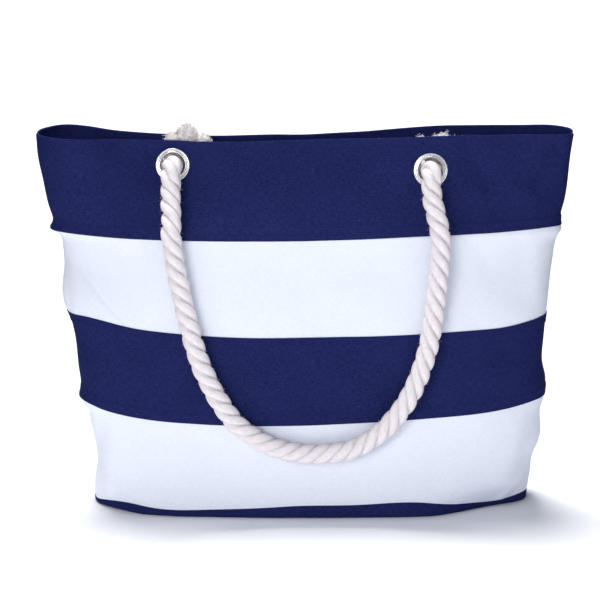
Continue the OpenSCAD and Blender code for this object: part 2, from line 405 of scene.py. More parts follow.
def weave_group() -> bpy.types.NodeTree:
    """Plain weave: threads over and under each other, with thicker and thinner stretches.

    The height is 0.5 + 0.5 cos(pi u / pitch) cos(pi v / pitch), which is high where a thread
    lies on top. Noise drawn out along each direction gives the threads uneven shades.

    Returns:
        The group, with outputs Height, Shade and Fleck.
    """
    n = new_group("plain_weave", {"Place": None, "Pitch": 0.0007}, ["Height", "Shade", "Fleck"])
    place, pitch = n.tree.nodes["in"].outputs["Place"], n.tree.nodes["in"].outputs["Pitch"]
    out = n.tree.nodes["out"].inputs
    wander = n.math("MULTIPLY", n.math("SUBTRACT", n.noise(place, 260, 1.0), 0.5), 0.0009)
    split = n.add("ShaderNodeSeparateXYZ")
    n.put(split.inputs[0], place)
    turn = n.math("DIVIDE", math.pi, pitch)
    across = n.math("COSINE", n.math("MULTIPLY", n.math("ADD", split.outputs[0], wander), turn))
    up = n.math("COSINE", n.math("MULTIPLY", n.math("ADD", split.outputs[1], wander), turn))
    n.put(out["Height"], n.spread(n.math("MULTIPLY", across, up), 0.5, 1.0))
    weft = n.noise(n.stretch(place, (210, 1050, 1)), 1.0, 1.5)
    warp = n.noise(n.stretch(place, (1050, 210, 1)), 1.0, 1.5)
    broad = n.noise(place, 26, 2.0)
    streaks = n.math("ADD", n.math("MULTIPLY", weft, 0.45), n.math("MULTIPLY", warp, 0.4))
    n.put(out["Shade"], n.math("ADD", streaks, n.math("MULTIPLY", broad, 0.15)))
    fleck = n.add("ShaderNodeTexVoronoi", feature="F1")
    n.put(fleck.inputs["Vector"], n.stretch(place, (38, 70, 1)))
    fleck.inputs["Scale"].default_value = 1.0
    n.put(out["Fleck"], n.math("LESS_THAN", fleck.outputs["Distance"], 0.03))
    return n.tree


def fibre_group() -> bpy.types.NodeTree:
    """Spun cotton: fine ridges that run aslant along a strand.

    The noise is read at (u + slant v, v), drawn out along v, so its ridges lean by the slant.

    Returns:
        The group, with outputs Height and Shade.
    """
    n = new_group("spun_fibre", {"Place": None, "Slant": 0.6}, ["Height", "Shade"])
    source = n.tree.nodes["in"].outputs
    out = n.tree.nodes["out"].inputs
    split = n.add("ShaderNodeSeparateXYZ")
    n.put(split.inputs[0], source["Place"])
    leaned = n.math("ADD", split.outputs[0], n.math("MULTIPLY", split.outputs[1], source["Slant"]))
    joined = n.add("ShaderNodeCombineXYZ")
    n.put(joined.inputs[0], leaned)
    n.put(joined.inputs[1], split.outputs[1])
    yarn = n.noise(n.stretch(joined.outputs[0], (900, 60, 1)), 1.0, 2.0)
    hair = n.noise(n.stretch(joined.outputs[0], (2600, 240, 1)), 1.0, 3.0)
    ridges = n.math("ADD", n.math("MULTIPLY", yarn, 0.5), n.math("MULTIPLY", hair, 0.25))
    lumps = n.noise(n.stretch(joined.outputs[0], (300, 180, 1)), 1.0, 2.0)
    n.put(out["Height"], n.math("ADD", ridges, n.math("MULTIPLY", lumps, 0.7)))
    patch = n.noise(n.stretch(joined.outputs[0], (430, 240, 1)), 1.0, 2.0)
    n.put(out["Shade"], n.math("ADD", n.math("MULTIPLY", yarn, 0.45), n.math("MULTIPLY", patch, 0.55)))
    return n.tree


def scuff_group() -> bpy.types.NodeTree:
    """Handled metal: a faint cloud of fine rubbing.

    Returns:
        The group, with outputs Height and Shade.
    """
    n = new_group("metal_scuffs", {"Place": None, "Scale": 900.0}, ["Height", "Shade"])
    source = n.tree.nodes["in"].outputs
    out = n.tree.nodes["out"].inputs
    fine = n.add("ShaderNodeTexNoise")
    n.put(fine.inputs["Vector"], source["Place"])
    n.put(fine.inputs["Scale"], source["Scale"])
    fine.inputs["Detail"].default_value = 4.0
    n.put(out["Height"], fine.outputs["Fac"])
    n.put(out["Shade"], n.noise(source["Place"], 160, 3.0))
    return n.tree


WEAVE = weave_group()
FIBRE = fibre_group()
SCUFFS = scuff_group()

Colour = tuple[float, float, float]


def dressed(name: str) -> tuple[bpy.types.Material, Nodes, bpy.types.Node]:
    """A new material, its writer and its Principled shader."""
    material = bpy.data.materials.new(name)
    material.use_nodes = True
    tree = material.node_tree
    return material, Nodes(tree), tree.nodes["Principled BSDF"]


def place_on_cloth(nodes: Nodes) -> bpy.types.NodeSocket:
    """The place on the piece's own cloth, in metres."""
    return nodes.add("ShaderNodeUVMap", uv_map="cloth").outputs["UV"]


def bump(nodes: Nodes, shader: bpy.types.Node, height: object, distance: float, strength: float) -> None:
    """Feeds a height into a shader's normal through a Bump node."""
    node = nodes.add("ShaderNodeBump")
    node.inputs["Distance"].default_value = distance
    node.inputs["Strength"].default_value = strength
    nodes.put(node.inputs["Height"], height)
    nodes.put(shader.inputs["Normal"], node.outputs["Normal"])


@dataclass(frozen=True)
class WovenCloth:
    """A woven cloth: its two thread colours, its weave and how it takes the light."""

    name: str
    dark: Colour
    light: Colour
    pitch: float = 0.7 * MM
    relief: float = 0.35 * MM
    roughness: float = 0.85
    gloss: float = 0.02
    contrast: float = 1.0
    fleck: Colour | None = None

    def material(self) -> bpy.types.Material:
        """The cloth's material: colour, roughness and bump all follow its threads."""
        material, n, shader = dressed(self.name)
        weave = n.add("ShaderNodeGroup", node_tree=WEAVE)
        n.put(weave.inputs["Place"], place_on_cloth(n))
        weave.inputs["Pitch"].default_value = self.pitch
        height, shade = weave.outputs["Height"], weave.outputs["Shade"]
        tone = n.math("ADD", n.math("MULTIPLY", height, 0.4), n.math("MULTIPLY", shade, 2.6))
        tone = n.spread(n.math("SUBTRACT", tone, 1.5), 0.5, 0.5 + self.contrast)
        colour = n.mix(tone, (*self.dark, 1), (*self.light, 1))
        if self.fleck:
            colour = n.mix(n.math("MULTIPLY", weave.outputs["Fleck"], 0.5), colour, (*self.fleck, 1))
        n.put(shader.inputs["Base Color"], colour)
        n.put(shader.inputs["Roughness"], n.spread(height, self.roughness + 0.08, self.roughness))
        shader.inputs["Specular IOR Level"].default_value = self.gloss
        bump(n, shader, n.math("ADD", height, n.math("MULTIPLY", shade, 1.6)), self.relief, 0.5)
        return material


@dataclass(frozen=True)
class Cotton:
    """Spun cotton of a rope, a yarn or a thread."""

    name: str
    dark: Colour
    light: Colour
    slant: float = 0.6
    relief: float = 0.5 * MM
    roughness: float = 0.9
    gloss: float = 0.1
    glow_through: float = 0.0

    def material(self) -> bpy.types.Material:
        """The cotton's material: slanting ridges in colour and bump, and light that soaks in."""
        material, n, shader = dressed(self.name)
        fibre = n.add("ShaderNodeGroup", node_tree=FIBRE)
        n.put(fibre.inputs["Place"], place_on_cloth(n))
        fibre.inputs["Slant"].default_value = self.slant
        tone = n.spread(fibre.outputs["Shade"], -0.25, 1.45)
        n.put(shader.inputs["Base Color"], n.mix(tone, (*self.dark, 1), (*self.light, 1)))
        n.put(shader.inputs["Roughness"], n.spread(fibre.outputs["Height"], 1.0, self.roughness))
        shader.inputs["Specular IOR Level"].default_value = self.gloss
        shader.inputs["Subsurface Weight"].default_value = self.glow_through
        shader.inputs["Subsurface Radius"].default_value = (4 * MM, 3.6 * MM, 3.2 * MM)
        shader.inputs["Subsurface Scale"].default_value = 1.0
        bump(n, shader, fibre.outputs["Height"], self.relief, 0.8)
        return material


@dataclass(frozen=True)
class PlatedMetal:
    """Bright nickel plate, slightly rubbed."""

    name: str
    colour: Colour = (0.74, 0.74, 0.74)
    roughness: float = 0.24

    def material(self) -> bpy.types.Material:
        """The metal's material: its roughness and bump follow the rubbing."""
        material, n, shader = dressed(self.name)
        place = n.add("ShaderNodeTexCoord").outputs["Object"]
        scuff = n.add("ShaderNodeGroup", node_tree=SCUFFS)
        n.put(scuff.inputs["Place"], place)
        bright = tuple(min(1.0, c * 1.04) for c in self.colour)
        dull = tuple(c * 0.95 for c in self.colour)
        n.put(shader.inputs["Base Color"], n.mix(scuff.outputs["Shade"], (*dull, 1), (*bright, 1)))
        n.put(
            shader.inputs["Roughness"],
            n.spread(scuff.outputs["Shade"], self.roughness * 0.85, self.roughness * 1.2),
        )
        shader.inputs["Metallic"].default_value = 1.0
        bump(n, shader, scuff.outputs["Height"], 0.005 * MM, 0.02)
        return material


@dataclass(frozen=True)
class PressedBoard:
    """The grey board that keeps the base flat."""

    name: str
    dark: Colour = (0.1, 0.09, 0.08)
    light: Colour = (0.22, 0.2, 0.17)

    def material(self) -> bpy.types.Material:
        """The board's material: a mottled, finely rough surface."""
        material, n, shader = dressed(self.name)
        place = n.add("ShaderNodeTexCoord").outputs["Object"]
        mottle = n.noise(place, 300, 5.0)
        n.put(shader.inputs["Base Color"], n.mix(mottle, (*self.dark, 1), (*self.light, 1)))
        n.put(shader.inputs["Roughness"], n.spread(mottle, 0.7, 0.95))
        bump(n, shader, n.noise(place, 1400, 3.0), 0.2 * MM, 0.4)
        return material


@dataclass(frozen=True)
class Finishes:
    """Every material of the bag."""

    navy: bpy.types.Material
    white: bpy.types.Material
    lining: bpy.types.Material
    thread: bpy.types.Material
    pale_thread: bpy.types.Material
    rope: bpy.types.Material
    fray: bpy.types.Material
    nickel: bpy.types.Material
    board: bpy.types.Material

    @classmethod
    def make(cls) -> "Finishes":
        """Builds the materials."""
        return cls(
            navy=WovenCloth(
                "navy_canvas", (0.006, 0.009, 0.055), (0.0225, 0.029, 0.129), fleck=(0.1, 0.12, 0.26)
            ).material(),
            white=WovenCloth(
                "white_canvas", (0.76, 0.81, 0.9), (0.85, 0.895, 0.98), fleck=(0.62, 0.65, 0.72)
            ).material(),
            lining=WovenCloth(
                "lining_cloth", (0.62, 0.6, 0.55), (0.76, 0.74, 0.68), pitch=0.45 * MM, relief=0.15 * MM
            ).material(),
            thread=Cotton("navy_thread", (0.008, 0.012, 0.065), (0.022, 0.03, 0.13)).material(),
            pale_thread=Cotton("pale_thread", (0.6, 0.59, 0.55), (0.78, 0.77, 0.72)).material(),
            rope=Cotton("cotton_rope", (0.66, 0.59, 0.6), (0.88, 0.84, 0.87), slant=-0.62).material(),
            fray=Cotton(
                "frayed_cotton", (0.86, 0.76, 0.73), (1.0, 0.96, 0.95), relief=0.1 * MM, glow_through=0.4
            ).material(),
            nickel=PlatedMetal("nickel").material(),
            board=PressedBoard("board").material(),
        )


# ---------------------------------------------------------------------------------------------
# The body's shape
# ---------------------------------------------------------------------------------------------


@dataclass(frozen=True)
class Fold:
    """A fold in the cloth along a line, given as (x, z) points seen from the front.

    A ridge stands out by height, and a valley has a negative one. A step raises the cloth on
    the right of the line, looking from start to end, and lowers it on the left.
    """

    side: Side
    start: tuple[float, float]
    end: tuple[float, float]
    height: float
    width: float
    step: bool = False

    def relief(self, x: Array, z: Array) -> Array:
        """How far the cloth stands out at (x, z).

        Across the line the shape is exp(-(d / width)^2), or tanh times that with twice the
        width for a step. Along it, it fades in and out over a third of its length.

        Args:
            x: places across the bag.
            z: heights.

        Returns:
            The height of the fold at each place.
        """
        start, end = np.array(self.start), np.array(self.end)
        length = np.linalg.norm(end - start)
        way = (end - start) / length
        along = ((x - start[0]) * way[0] + (z - start[1]) * way[1]) / length
        off = (x - start[0]) * way[1] - (z - start[1]) * way[0]
        fade = smoothstep((along + 0.1) * 3) * smoothstep((1.1 - along) * 3)
        if self.step:
            return self.height * np.tanh(off / self.width) * np.exp(-((off / self.width / 4) ** 2)) * fade
        return self.height * np.exp(-((off / self.width) ** 2)) * fade


FOLDS = (
    # Left end of the upper stripe: sharp creases run out of one point at the side seam.
    Fold(Side.FRONT, (-0.229, 0.250), (-0.166, 0.180), -1.3 * MM, 2.0 * MM),
    Fold(Side.FRONT, (-0.224, 0.246), (-0.172, 0.186), 0.9 * MM, 6 * MM, step=True),
    Fold(Side.FRONT, (-0.2265, 0.242), (-0.2215, 0.192), -1.1 * MM, 2.4 * MM),
    # Right end of the upper stripe: the cloth turns a corner, and soft folds hang from the eyelet.
    Fold(Side.FRONT, (0.212, 0.262), (0.214, 0.196), -1.6 * MM, 8 * MM, step=True),
    Fold(Side.FRONT, (0.146, 0.352), (0.178, 0.300), -3.0 * MM, 8 * MM),
    Fold(Side.FRONT, (0.168, 0.352), (0.203, 0.296), 2.2 * MM, 11 * MM),
    Fold(Side.FRONT, (0.135, 0.306), (0.176, 0.226), -0.9 * MM, 9 * MM),
    Fold(Side.FRONT, (0.243, 0.348), (0.215, 0.300), -3.0 * MM, 9 * MM),
    # Middle of the top band: shallow folds between the eyelets.
    Fold(Side.FRONT, (-0.165, 0.345), (-0.205, 0.285), -0.7 * MM, 10 * MM),
    Fold(Side.FRONT, (-0.085, 0.338), (-0.050, 0.286), 0.5 * MM, 12 * MM),
    Fold(Side.FRONT, (0.080, 0.338), (0.045, 0.284), 0.5 * MM, 12 * MM),
    # Lower stripe: dents at its left end, and a crease up from the right corner of the base.
    Fold(Side.FRONT, (-0.199, 0.010), (-0.196, 0.090), -5.5 * MM, 8 * MM),
    Fold(Side.FRONT, (-0.112, 0.044), (-0.140, 0.020), -0.9 * MM, 5 * MM),
    Fold(Side.FRONT, (0.184, 0.004), (0.214, 0.036), 2.2 * MM, 4.5 * MM),
    Fold(Side.FRONT, (0.196, 0.014), (0.214, 0.092), -2.2 * MM, 7 * MM, step=True),
    # The back has soft folds of its own.
    Fold(Side.BACK, (-0.205, 0.250), (-0.160, 0.190), -1.5 * MM, 8 * MM),
    Fold(Side.BACK, (0.214, 0.262), (0.190, 0.200), -1.5 * MM, 7 * MM, step=True),
    Fold(Side.BACK, (0.150, 0.310), (0.185, 0.240), 1.0 * MM, 12 * MM),
    Fold(Side.BACK, (-0.100, 0.330), (-0.060, 0.280), 0.6 * MM, 12 * MM),
    Fold(Side.BACK, (-0.190, 0.080), (-0.198, 0.020), -2.0 * MM, 9 * MM),
    Fold(Side.BACK, (0.180, 0.010), (0.206, 0.050), 1.5 * MM, 6 * MM),
)


# Where the eyelets are set in the cloth, as (x, z).
EYELET_AT = {Hand.LEFT: (-0.124, 0.328), Hand.RIGHT: (0.117, 0.326)}


@dataclass(frozen=True)
class BodyShape:
    """The outer surface of the bag's body.

    A point has a side, a share s from -1 at the left seam to 1 at the right one, and a share v
    of the rim's height. At a height the body is x = half width * sin(90 s) and
    y = depth * (1 - |sin(90 s)|^n)^(1/n), where n says how square it is.
    """

    rim_width: float
    base_width: float
    base_depth: float
    rim_height: float
    rim_lift: float = 5 * MM
    mouth_half: float = 17 * MM
    left_lobe: float = 41 * MM
    right_lobe: float = 19 * MM
    upper_seam: float = 0.75

    @classmethod
    def from_frame(cls) -> "BodyShape":
        """Takes the driving sizes from the CAD parts."""
        low, high = box_of("front_top_band")
        base_low, base_high = box_of("base_panel")
        board_low, board_high = box_of("base_board")
        board_inset = 4 * MM
        return cls(
            rim_width=high.x - low.x,
            base_width=board_high.x - board_low.x + 2 * board_inset,
            base_depth=base_high.y - base_low.y,
            rim_height=high.z - cls.rim_lift,
            upper_seam=low.z / (high.z - cls.rim_lift),
        )

    def side_shift(self, s: Array, z: Array) -> Array:
        """How far the cloth near a side seam lies outside the straight taper, in X."""
        left = curve_through(
            z * 1000,
            [(0, 2), (20, 4.5), (42, 10), (56, 10.5), (80, 9), (94, 8), (100, 4.5), (105, 2.2), (112, 4.2),
             (136, 5.4), (170, 6.2), (185, 4.1), (195, 0.9), (207, 0.9), (218, 3.5), (229, 6.4), (250, 8.2),
             (258, 8), (266, -0.4), (273, 3.2), (279, 2.6), (287, 1.2), (313, -0.4), (336, -1.6), (357, 0)],
        )
        right = curve_through(
            z * 1000,
            [(0, 9), (26, 9), (49, 9.5), (60, 13), (94, 10), (104, 11.5), (121, 10.5), (139, 4.5), (162, 2.4),
             (195, 0.8), (236, -1), (258, 0), (265, 2.8), (270, 1.6), (280, 0), (292, 1.2), (340, 0),
             (357, 0)],
        )
        return np.where(s < 0, left, right) * MM

    def squareness(self, v: Array) -> Array:
        """How square a level is: 2 is an ellipse, and a high number nearly a rectangle."""
        return curve_through(v, [(0, 3), (0.25, 3.2), (0.5, 2.9), (0.75, 2.3), (0.9, 3.1), (1, 4)])

    def mouth_depth(self, x: Array) -> Array:
        """Half depth of the mouth: open at the left end, pinched, and open again at the right."""
        left = self.left_lobe * np.exp(-(((x + 0.222) / 0.045) ** 2))
        return self.mouth_half + left + self.right_lobe / (1 + np.exp(-(x - 0.075) / 0.016))

    def full_depth(self, x: Array, v: Array) -> Array:
        """Half depth before a level's rounding.

        The body bulges, draws in to the mouth, and curls under at the corners of its base.

        Args:
            x: places across the bag.
            v: shares up.

        Returns:
            The half depths.
        """
        body = self.base_depth / 2 * curve_through(
            v, [(0, 1.03), (0.15, 1.01), (0.3, 1), (0.5, 0.96), (0.75, 0.767), (1, 0.767)]
        )
        curl = 0.36 * smoothstep((x - 0.115) / 0.08) + 0.14 * smoothstep((-0.15 - x) / 0.04)
        body = body * (1 - curl * (1 - smoothstep(v / 0.075)))
        pull = np.sin(np.clip((v - self.upper_seam) / (1 - self.upper_seam), 0, 1) * math.pi / 2)
        return body * (1 - pull) + self.mouth_depth(x) * pull

    def seam_rise(self, v: Array) -> Array:
        """How much higher a level is at the side seams than in the middle."""
        rise = [(0, 0), (0.1, 7), (0.25, 11), (0.5, 10), (0.75, 2), (1, self.rim_lift / MM)]
        return MM * curve_through(v, rise)

    def rim_wave(self, side: Side, x: Array) -> Array:
        """How the rim of a side rises and falls along its length."""
        front = [
            (-253, 0), (-205, 1.2), (-150, -1), (-88, -2.4), (-5, -0.4), (49, 1.5), (149, 5.5), (205, 4),
            (253, 0),
        ]
        back = [
            (-253, 0.5), (-237, 2.5), (-210, 1.6), (-188, 0.6), (-162, 0.8), (-79, -0.9), (-33, 0.4),
            (0, 0.5), (29, 2), (61, 3.2), (82, 4.2), (103, 5), (128, 6), (157, 5.8), (204, 5), (238, 4.2),
            (253, 2),
        ]
        return MM * curve_through(x * 1000, front if side is Side.FRONT else back)

    def relief(self, side: Side, x: Array, z: Array) -> Array:
        """Folds and soft unevenness of the cloth, as a distance outwards."""
        total = sum(f.relief(x, z) for f in FOLDS if f.side is side)
        seed = 11 if side is Side.FRONT else 23
        total = total + ripples(x, z * 0.8, 0.13, 10, seed) * 0.55 * MM
        total = total + ripples(x, z * 0.8, 0.045, 12, seed + 1) * 0.14 * MM
        return total

    @cache
    def eyelet_axis(self, side: Side, hand: Hand) -> Array:
        """The way out of an eyelet: square to the body there, by the steps to both sides."""
        x, z = EYELET_AT[hand]
        v = z / self.rim_height

        def depth(at_x: float, at_v: float) -> float:
            """Half depth of the outer surface at a place across and up."""
            half = (self.base_width + (self.rim_width - self.base_width) * at_v) / 2
            n = self.squareness(at_v)
            return float(self.full_depth(at_x, at_v) * (1 - (abs(at_x) / half) ** n) ** (1 / n))

        lean = math.atan((depth(x, v - 0.02) - depth(x, v + 0.02)) / (0.04 * self.rim_height))
        turn = math.atan((depth(x + 8 * MM, v) - depth(x - 8 * MM, v)) / (16 * MM))
        level = math.cos(lean)
        return np.array([-math.sin(turn) * level, side.value * math.cos(turn) * level, math.sin(lean)])

    @cache
    def eyelet_centre(self, side: Side, hand: Hand) -> Array:
        """The middle of an eyelet at the outside of the cloth, from the CAD part's box."""
        low, high = box_of(f"{side.word}_{hand.word}_eyelet")
        return np.array((low + high) / 2) + 1.15 * MM * self.eyelet_axis(side, hand)

    def pressed_flat(self, side: Side, x: Array, y: Array, z: Array) -> Array:
        """Brings the cloth round each eyelet into the flat of its flange."""
        for hand in Hand:
            centre, axis = self.eyelet_centre(side, hand), self.eyelet_axis(side, hand)
            flat = centre[1] - (axis[0] * (x - centre[0]) + axis[2] * (z - centre[2])) / axis[1]
            away = np.hypot(x - centre[0], z - centre[2])
            share = 1 - smoothstep((away - 16 * MM) / (13 * MM))
            y = y + (side.value * flat - y) * share
        return y

    def bare(self, side: Side, s: Array, v: Array) -> Array:
        """A point of the outer surface, with its folds.

        Args:
            side: front or back.
            s: shares across, from -1 to 1.
            v: shares up.

        Returns:
            Points (..., 3).
        """
        s, v = np.broadcast_arrays(np.clip(s, -1, 1), v)
        sine = np.sin(s * math.pi / 2)
        out = np.abs(sine)
        n = self.squareness(v)
        z = self.rim_height * v + self.seam_rise(v) * out**3
        half = (self.base_width + (self.rim_width - self.base_width) * v) / 2
        x = half * sine + self.side_shift(s, z) * out**6
        fullness = np.maximum(1 - out**n, 0) ** (1 / n)
        y = self.full_depth(x, v) * fullness
        y = y + self.relief(side, x, z) * np.minimum(1, fullness * 2.5)
        y = self.pressed_flat(side, x, y, z)
        z = z + self.rim_wave(side, x) * smoothstep((v - 0.8) / 0.2)
        y = np.where(out >= 1, 0.0, y)
        return np.stack([x, side.value * y, z], -1)

    def point(self, side: Side, s: Array, v: Array, inset: Array | float) -> Array:
        """A point a distance inside the outer surface, along the surface's normal.

        The normal is the cross product of the steps to the neighbouring points across and up.

        Args:
            side: front or back.
            s: shares across.
            v: shares up.
            inset: distance inwards, negative outside.

        Returns:
            Points (..., 3).
        """
        s, v, inset = np.broadcast_arrays(s, v, inset)
        ds, dv = 0.004, 0.004
        across = self.bare(side, s + ds, v) - self.bare(side, s - ds, v)
        up = self.bare(side, s, v + dv) - self.bare(side, s, v - dv)
        outwards = unit(np.cross(across, up)) * -side.value
        ends = (np.abs(s) >= 1)[..., None]
        outwards = np.where(ends, unit(outwards * np.array([1, 0, 1])), outwards)
        return self.bare(side, s, v) - outwards * inset[..., None]


# ---------------------------------------------------------------------------------------------
# Cloth pieces
# ---------------------------------------------------------------------------------------------


class Seam(Enum):
    """The levels where the panels meet; the value is the CAD panel that starts there."""

    BASE = "front_lower_stripe"
    LOWER = "front_middle_band"
    MIDDLE = "front_upper_stripe"
    UPPER = "front_top_band"


# How each seam wanders up and down along its length, the same on the front and the back, so
# that the two meet at the side seams: (share across, millimetres).
SEAM_WANDER = {
    Seam.BASE: [(-1, -6.4), (-0.85, -5.4), (-0.74, -2.8), (-0.57, -0.4), (-0.46, -2.8), (-0.19, 0), (0, 3.6),
                (0.13, 4), (0.34, 5.6), (0.51, -1), (0.67, -4.6), (0.76, -2.6), (0.87, -0.6), (1, -1)],
    Seam.LOWER: [(-1, 4.2), (-0.78, 4.2), (-0.68, 2.2), (-0.54, 0.7), (-0.4, 0), (0, 0.3), (0.12, 1.7),
                 (0.33, 4.2), (0.63, 4.8), (0.78, 6), (1, 5.5)],
    Seam.MIDDLE: [(-1, 4.5), (-0.8, 5.6), (-0.71, 6.8), (-0.63, 6.2), (-0.51, 3), (-0.41, 1.5), (-0.17, -0.6),
                  (0.12, 0.1), (0.45, 1.5), (0.59, 0.4), (0.71, 1.3), (0.82, 2), (1, 1.8)],
    Seam.UPPER: [(-1, -0.3), (-0.66, -0.8), (-0.48, -1.6), (-0.16, -1.6), (0, -1), (0.11, 0.1), (0.3, 2.1),
                 (0.43, 2.9), (0.55, 3.6), (0.74, 4.4), (1, 3.6)],
}


def seam_level(shape: BodyShape, seam: Seam, s: Array) -> Array:
    """The share up of a seam, at shares across; front and back meet at the side seams.

    Args:
        shape: the body's shape.
        seam: which seam.
        s: shares across.

    Returns:
        The shares up.
    """
    return (box_of(seam.value)[0].z + curve_through(s, SEAM_WANDER[seam]) * MM) / shape.rim_height


@dataclass(frozen=True)
class Hem:
    """The sizes of a turned and stitched edge."""

    proud: float = 0.7 * MM
    fold: float = 8.5 * MM
    dent: float = 0.28 * MM
    tuck: float = 2 * MM
    roll: float = 2.9 * MM
    lip: float = 3 * MM


@dataclass
class Panel:
    """A cloth panel on one side of the body, between two levels.

    Its section is a closed loop: up the outside, round the top edge, down the inside and round
    the bottom edge. The loop is carried across from one side seam to the other.
    """

    name: str
    side: Side
    low: Callable[[Array], Array]
    high: Callable[[Array], Array]
    finish: bpy.types.Material
    thread: bpy.types.Material
    thickness: float
    inset: float = 0.0
    low_edge: Edge = Edge.TUCK
    high_edge: Edge = Edge.TUCK
    low_stitch: float = 0.0
    high_stitch: float = 0.0
    shows_inside: bool = False
    reach: float = 1.0
    columns: int = 241
    hole: float = 0.0
    hem: Hem = field(default_factory=Hem)

    def marks(self, height: float) -> Array:
        """Distances up the panel where its rows lie, close together near both edges."""
        near = np.array([0, 0.3, 0.8, 1.4, 2.2, 3, 3.6, 4, 4.5, 5.3, 6.2, 7, 8, 9, 10, 11, 12.5, 14.5]) * MM
        far = height - near[::-1]
        middle = np.linspace(near[-1] + 2 * MM, far[0] - 2 * MM, max(3, round(height / (2.4 * MM)) - 12))
        return np.concatenate([near, middle, far])

    def thickening(self, edge: Edge, away: Array) -> Array:
        """How far the cloth stands proud at a distance from an edge of a kind."""
        if edge is Edge.HEM:
            return self.hem.proud * (1 - smoothstep((away - self.hem.fold) / (2.5 * MM)))
        if edge is Edge.TUCK:
            return -0.5 * MM * (1 - smoothstep(away / (self.hem.tuck * 1.6)))
        return np.zeros_like(away)

    def section(self, height: float) -> tuple[Array, Array]:
        """The loop of the panel's section.

        Args:
            height: the panel's height in the middle.

        Returns:
            For each point of the loop, its distance up the panel and its inset.
        """
        up = self.marks(height)
        down = height - up
        proud = self.thickening(self.low_edge, up) + self.thickening(self.high_edge, down)
        for stitch, away in ((self.low_stitch, up), (self.high_stitch, down)):
            if stitch:
                proud = proud - self.hem.dent * np.exp(-(((away - stitch) / (0.9 * MM)) ** 2))
        outer = self.inset - (0 if self.shows_inside else 1) * proud
        inner = self.inset + self.thickness + (1 if self.shows_inside else 0) * proud
        if self.low_edge is Edge.HEM and not self.shows_inside:
            inner = inner - (self.thickness - 0.15 * MM) * (1 - smoothstep((up - 2 * MM) / (6 * MM)))
        if self.high_edge is Edge.HEM and not self.shows_inside:
            inner = inner - (self.thickness - 0.15 * MM) * (1 - smoothstep((down - 2 * MM) / (6 * MM)))
        if self.high_edge is Edge.ROLL:
            in_lip = 1 - smoothstep((down - self.hem.lip + 0.4 * MM) / (0.5 * MM))
            inner = inner + (self.hem.roll - self.thickness) * in_lip
        turn = np.linspace(0, math.pi, 8)[1:-1]

        def rounded(a: float, b: float) -> tuple[Array, Array]:
            """A half circle from inset a to inset b: how far past the edge, and the inset."""
            return np.abs(b - a) / 2 * np.sin(turn), (a + b) / 2 - (b - a) / 2 * np.cos(turn)

        past_top, over = rounded(outer[-1], inner[-1])
        past_low, under = rounded(inner[0], outer[0])
        distance = np.concatenate([up, height + past_top, up[::-1], -past_low])
        return distance, np.concatenate([outer, over, inner[::-1], under])

    def build(self, shape: BodyShape) -> bpy.types.Object:
        """Args:
            shape: the body's shape.

        Returns:
            The panel's object.
        """
        s = np.linspace(-self.reach, self.reach, self.columns)
        low, high = self.low(s), self.high(s)
        middle = self.columns // 2
        height = float((high - low)[middle]) * shape.rim_height
        distance, inset = self.section(height)
        v = low + (high - low) * (distance / height)[:, None]
        points = shape.point(self.side, s[None, :], v, inset[:, None])
        steps = np.linalg.norm(np.diff(points, axis=1), axis=2)
        across = np.concatenate([np.zeros((len(distance), 1)), np.cumsum(steps, 1)], 1)
        across -= across[:, middle:middle + 1]
        places = np.stack([across, np.broadcast_to(distance[:, None], across.shape)], -1)
        places = np.concatenate([places, places[:1]])
        turned = self.side is Side.BACK
        keep, walls = self.cut_holes(shape, points)
        surface = Surface.grid(points, places, wrap_rows=True, turned=turned, keep=keep)
        if len(walls):
            surface.faces = np.concatenate([surface.faces, walls])
            surface.places = np.concatenate([surface.places, np.zeros((len(walls), 4, 2))])
        rows = np.arange(len(distance)) * self.columns
        ends = [rows, (rows + self.columns - 1)[::-1]]
        surface.caps = [(e[::-1] if turned else e).tolist() for e in ends]
        piece = add_piece(f"{self.name}_cloth", [surface], self.finish, sharp=70)
        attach(piece, "bag")
        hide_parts(self.name)
        self.add_stitching(shape, s, low, high, height, inset)
        return piece

    def cut_holes(self, shape: BodyShape, points: Array) -> tuple[Array | None, Array]:
        """Leaves out the cells under the eyelets and joins the cloth's two faces round them.

        Args:
            shape: the body's shape.
            points: the panel's grid of points.

        Returns:
            For each cell, whether it is made, and the faces (n, 4) of the holes' walls.
        """
        if not self.hole:
            return None, np.zeros((0, 4), int)
        loop, columns = points.shape[:2]
        arc = 6
        rows = (loop - 2 * arc) // 2
        outer = points[:rows]
        centre = (outer[:-1, :-1] + outer[1:, 1:] + outer[1:, :-1] + outer[:-1, 1:]) / 4
        open_cell = np.zeros(centre.shape[:2], bool)
        for hand in Hand:
            axis = shape.eyelet_axis(self.side, hand)
            off = centre - shape.eyelet_centre(self.side, hand)
            off = off - (off @ axis)[..., None] * axis
            open_cell |= np.linalg.norm(off, axis=-1) < self.hole
        keep = np.ones((loop, columns - 1), bool)
        keep[:rows - 1] = ~open_cell
        keep[rows + arc:rows + arc + rows - 1] = ~open_cell[::-1]
        number = np.arange(loop * columns).reshape(loop, columns)
        front, behind = number[:rows], number[rows + arc:2 * rows + arc][::-1]
        walls = []
        i, j = np.nonzero(open_cell[1:] != open_cell[:-1])
        quad = np.stack([front[i + 1, j], front[i + 1, j + 1], behind[i + 1, j + 1], behind[i + 1, j]], -1)
        walls.append(np.where(open_cell[i + 1, j][:, None], quad, quad[:, ::-1]))
        i, j = np.nonzero(open_cell[:, 1:] != open_cell[:, :-1])
        quad = np.stack([front[i, j + 1], front[i + 1, j + 1], behind[i + 1, j + 1], behind[i, j + 1]], -1)
        walls.append(np.where(open_cell[i, j + 1][:, None], quad[:, ::-1], quad))
        walls = np.concatenate(walls)
        return keep, walls if self.side is Side.FRONT else walls[:, ::-1]

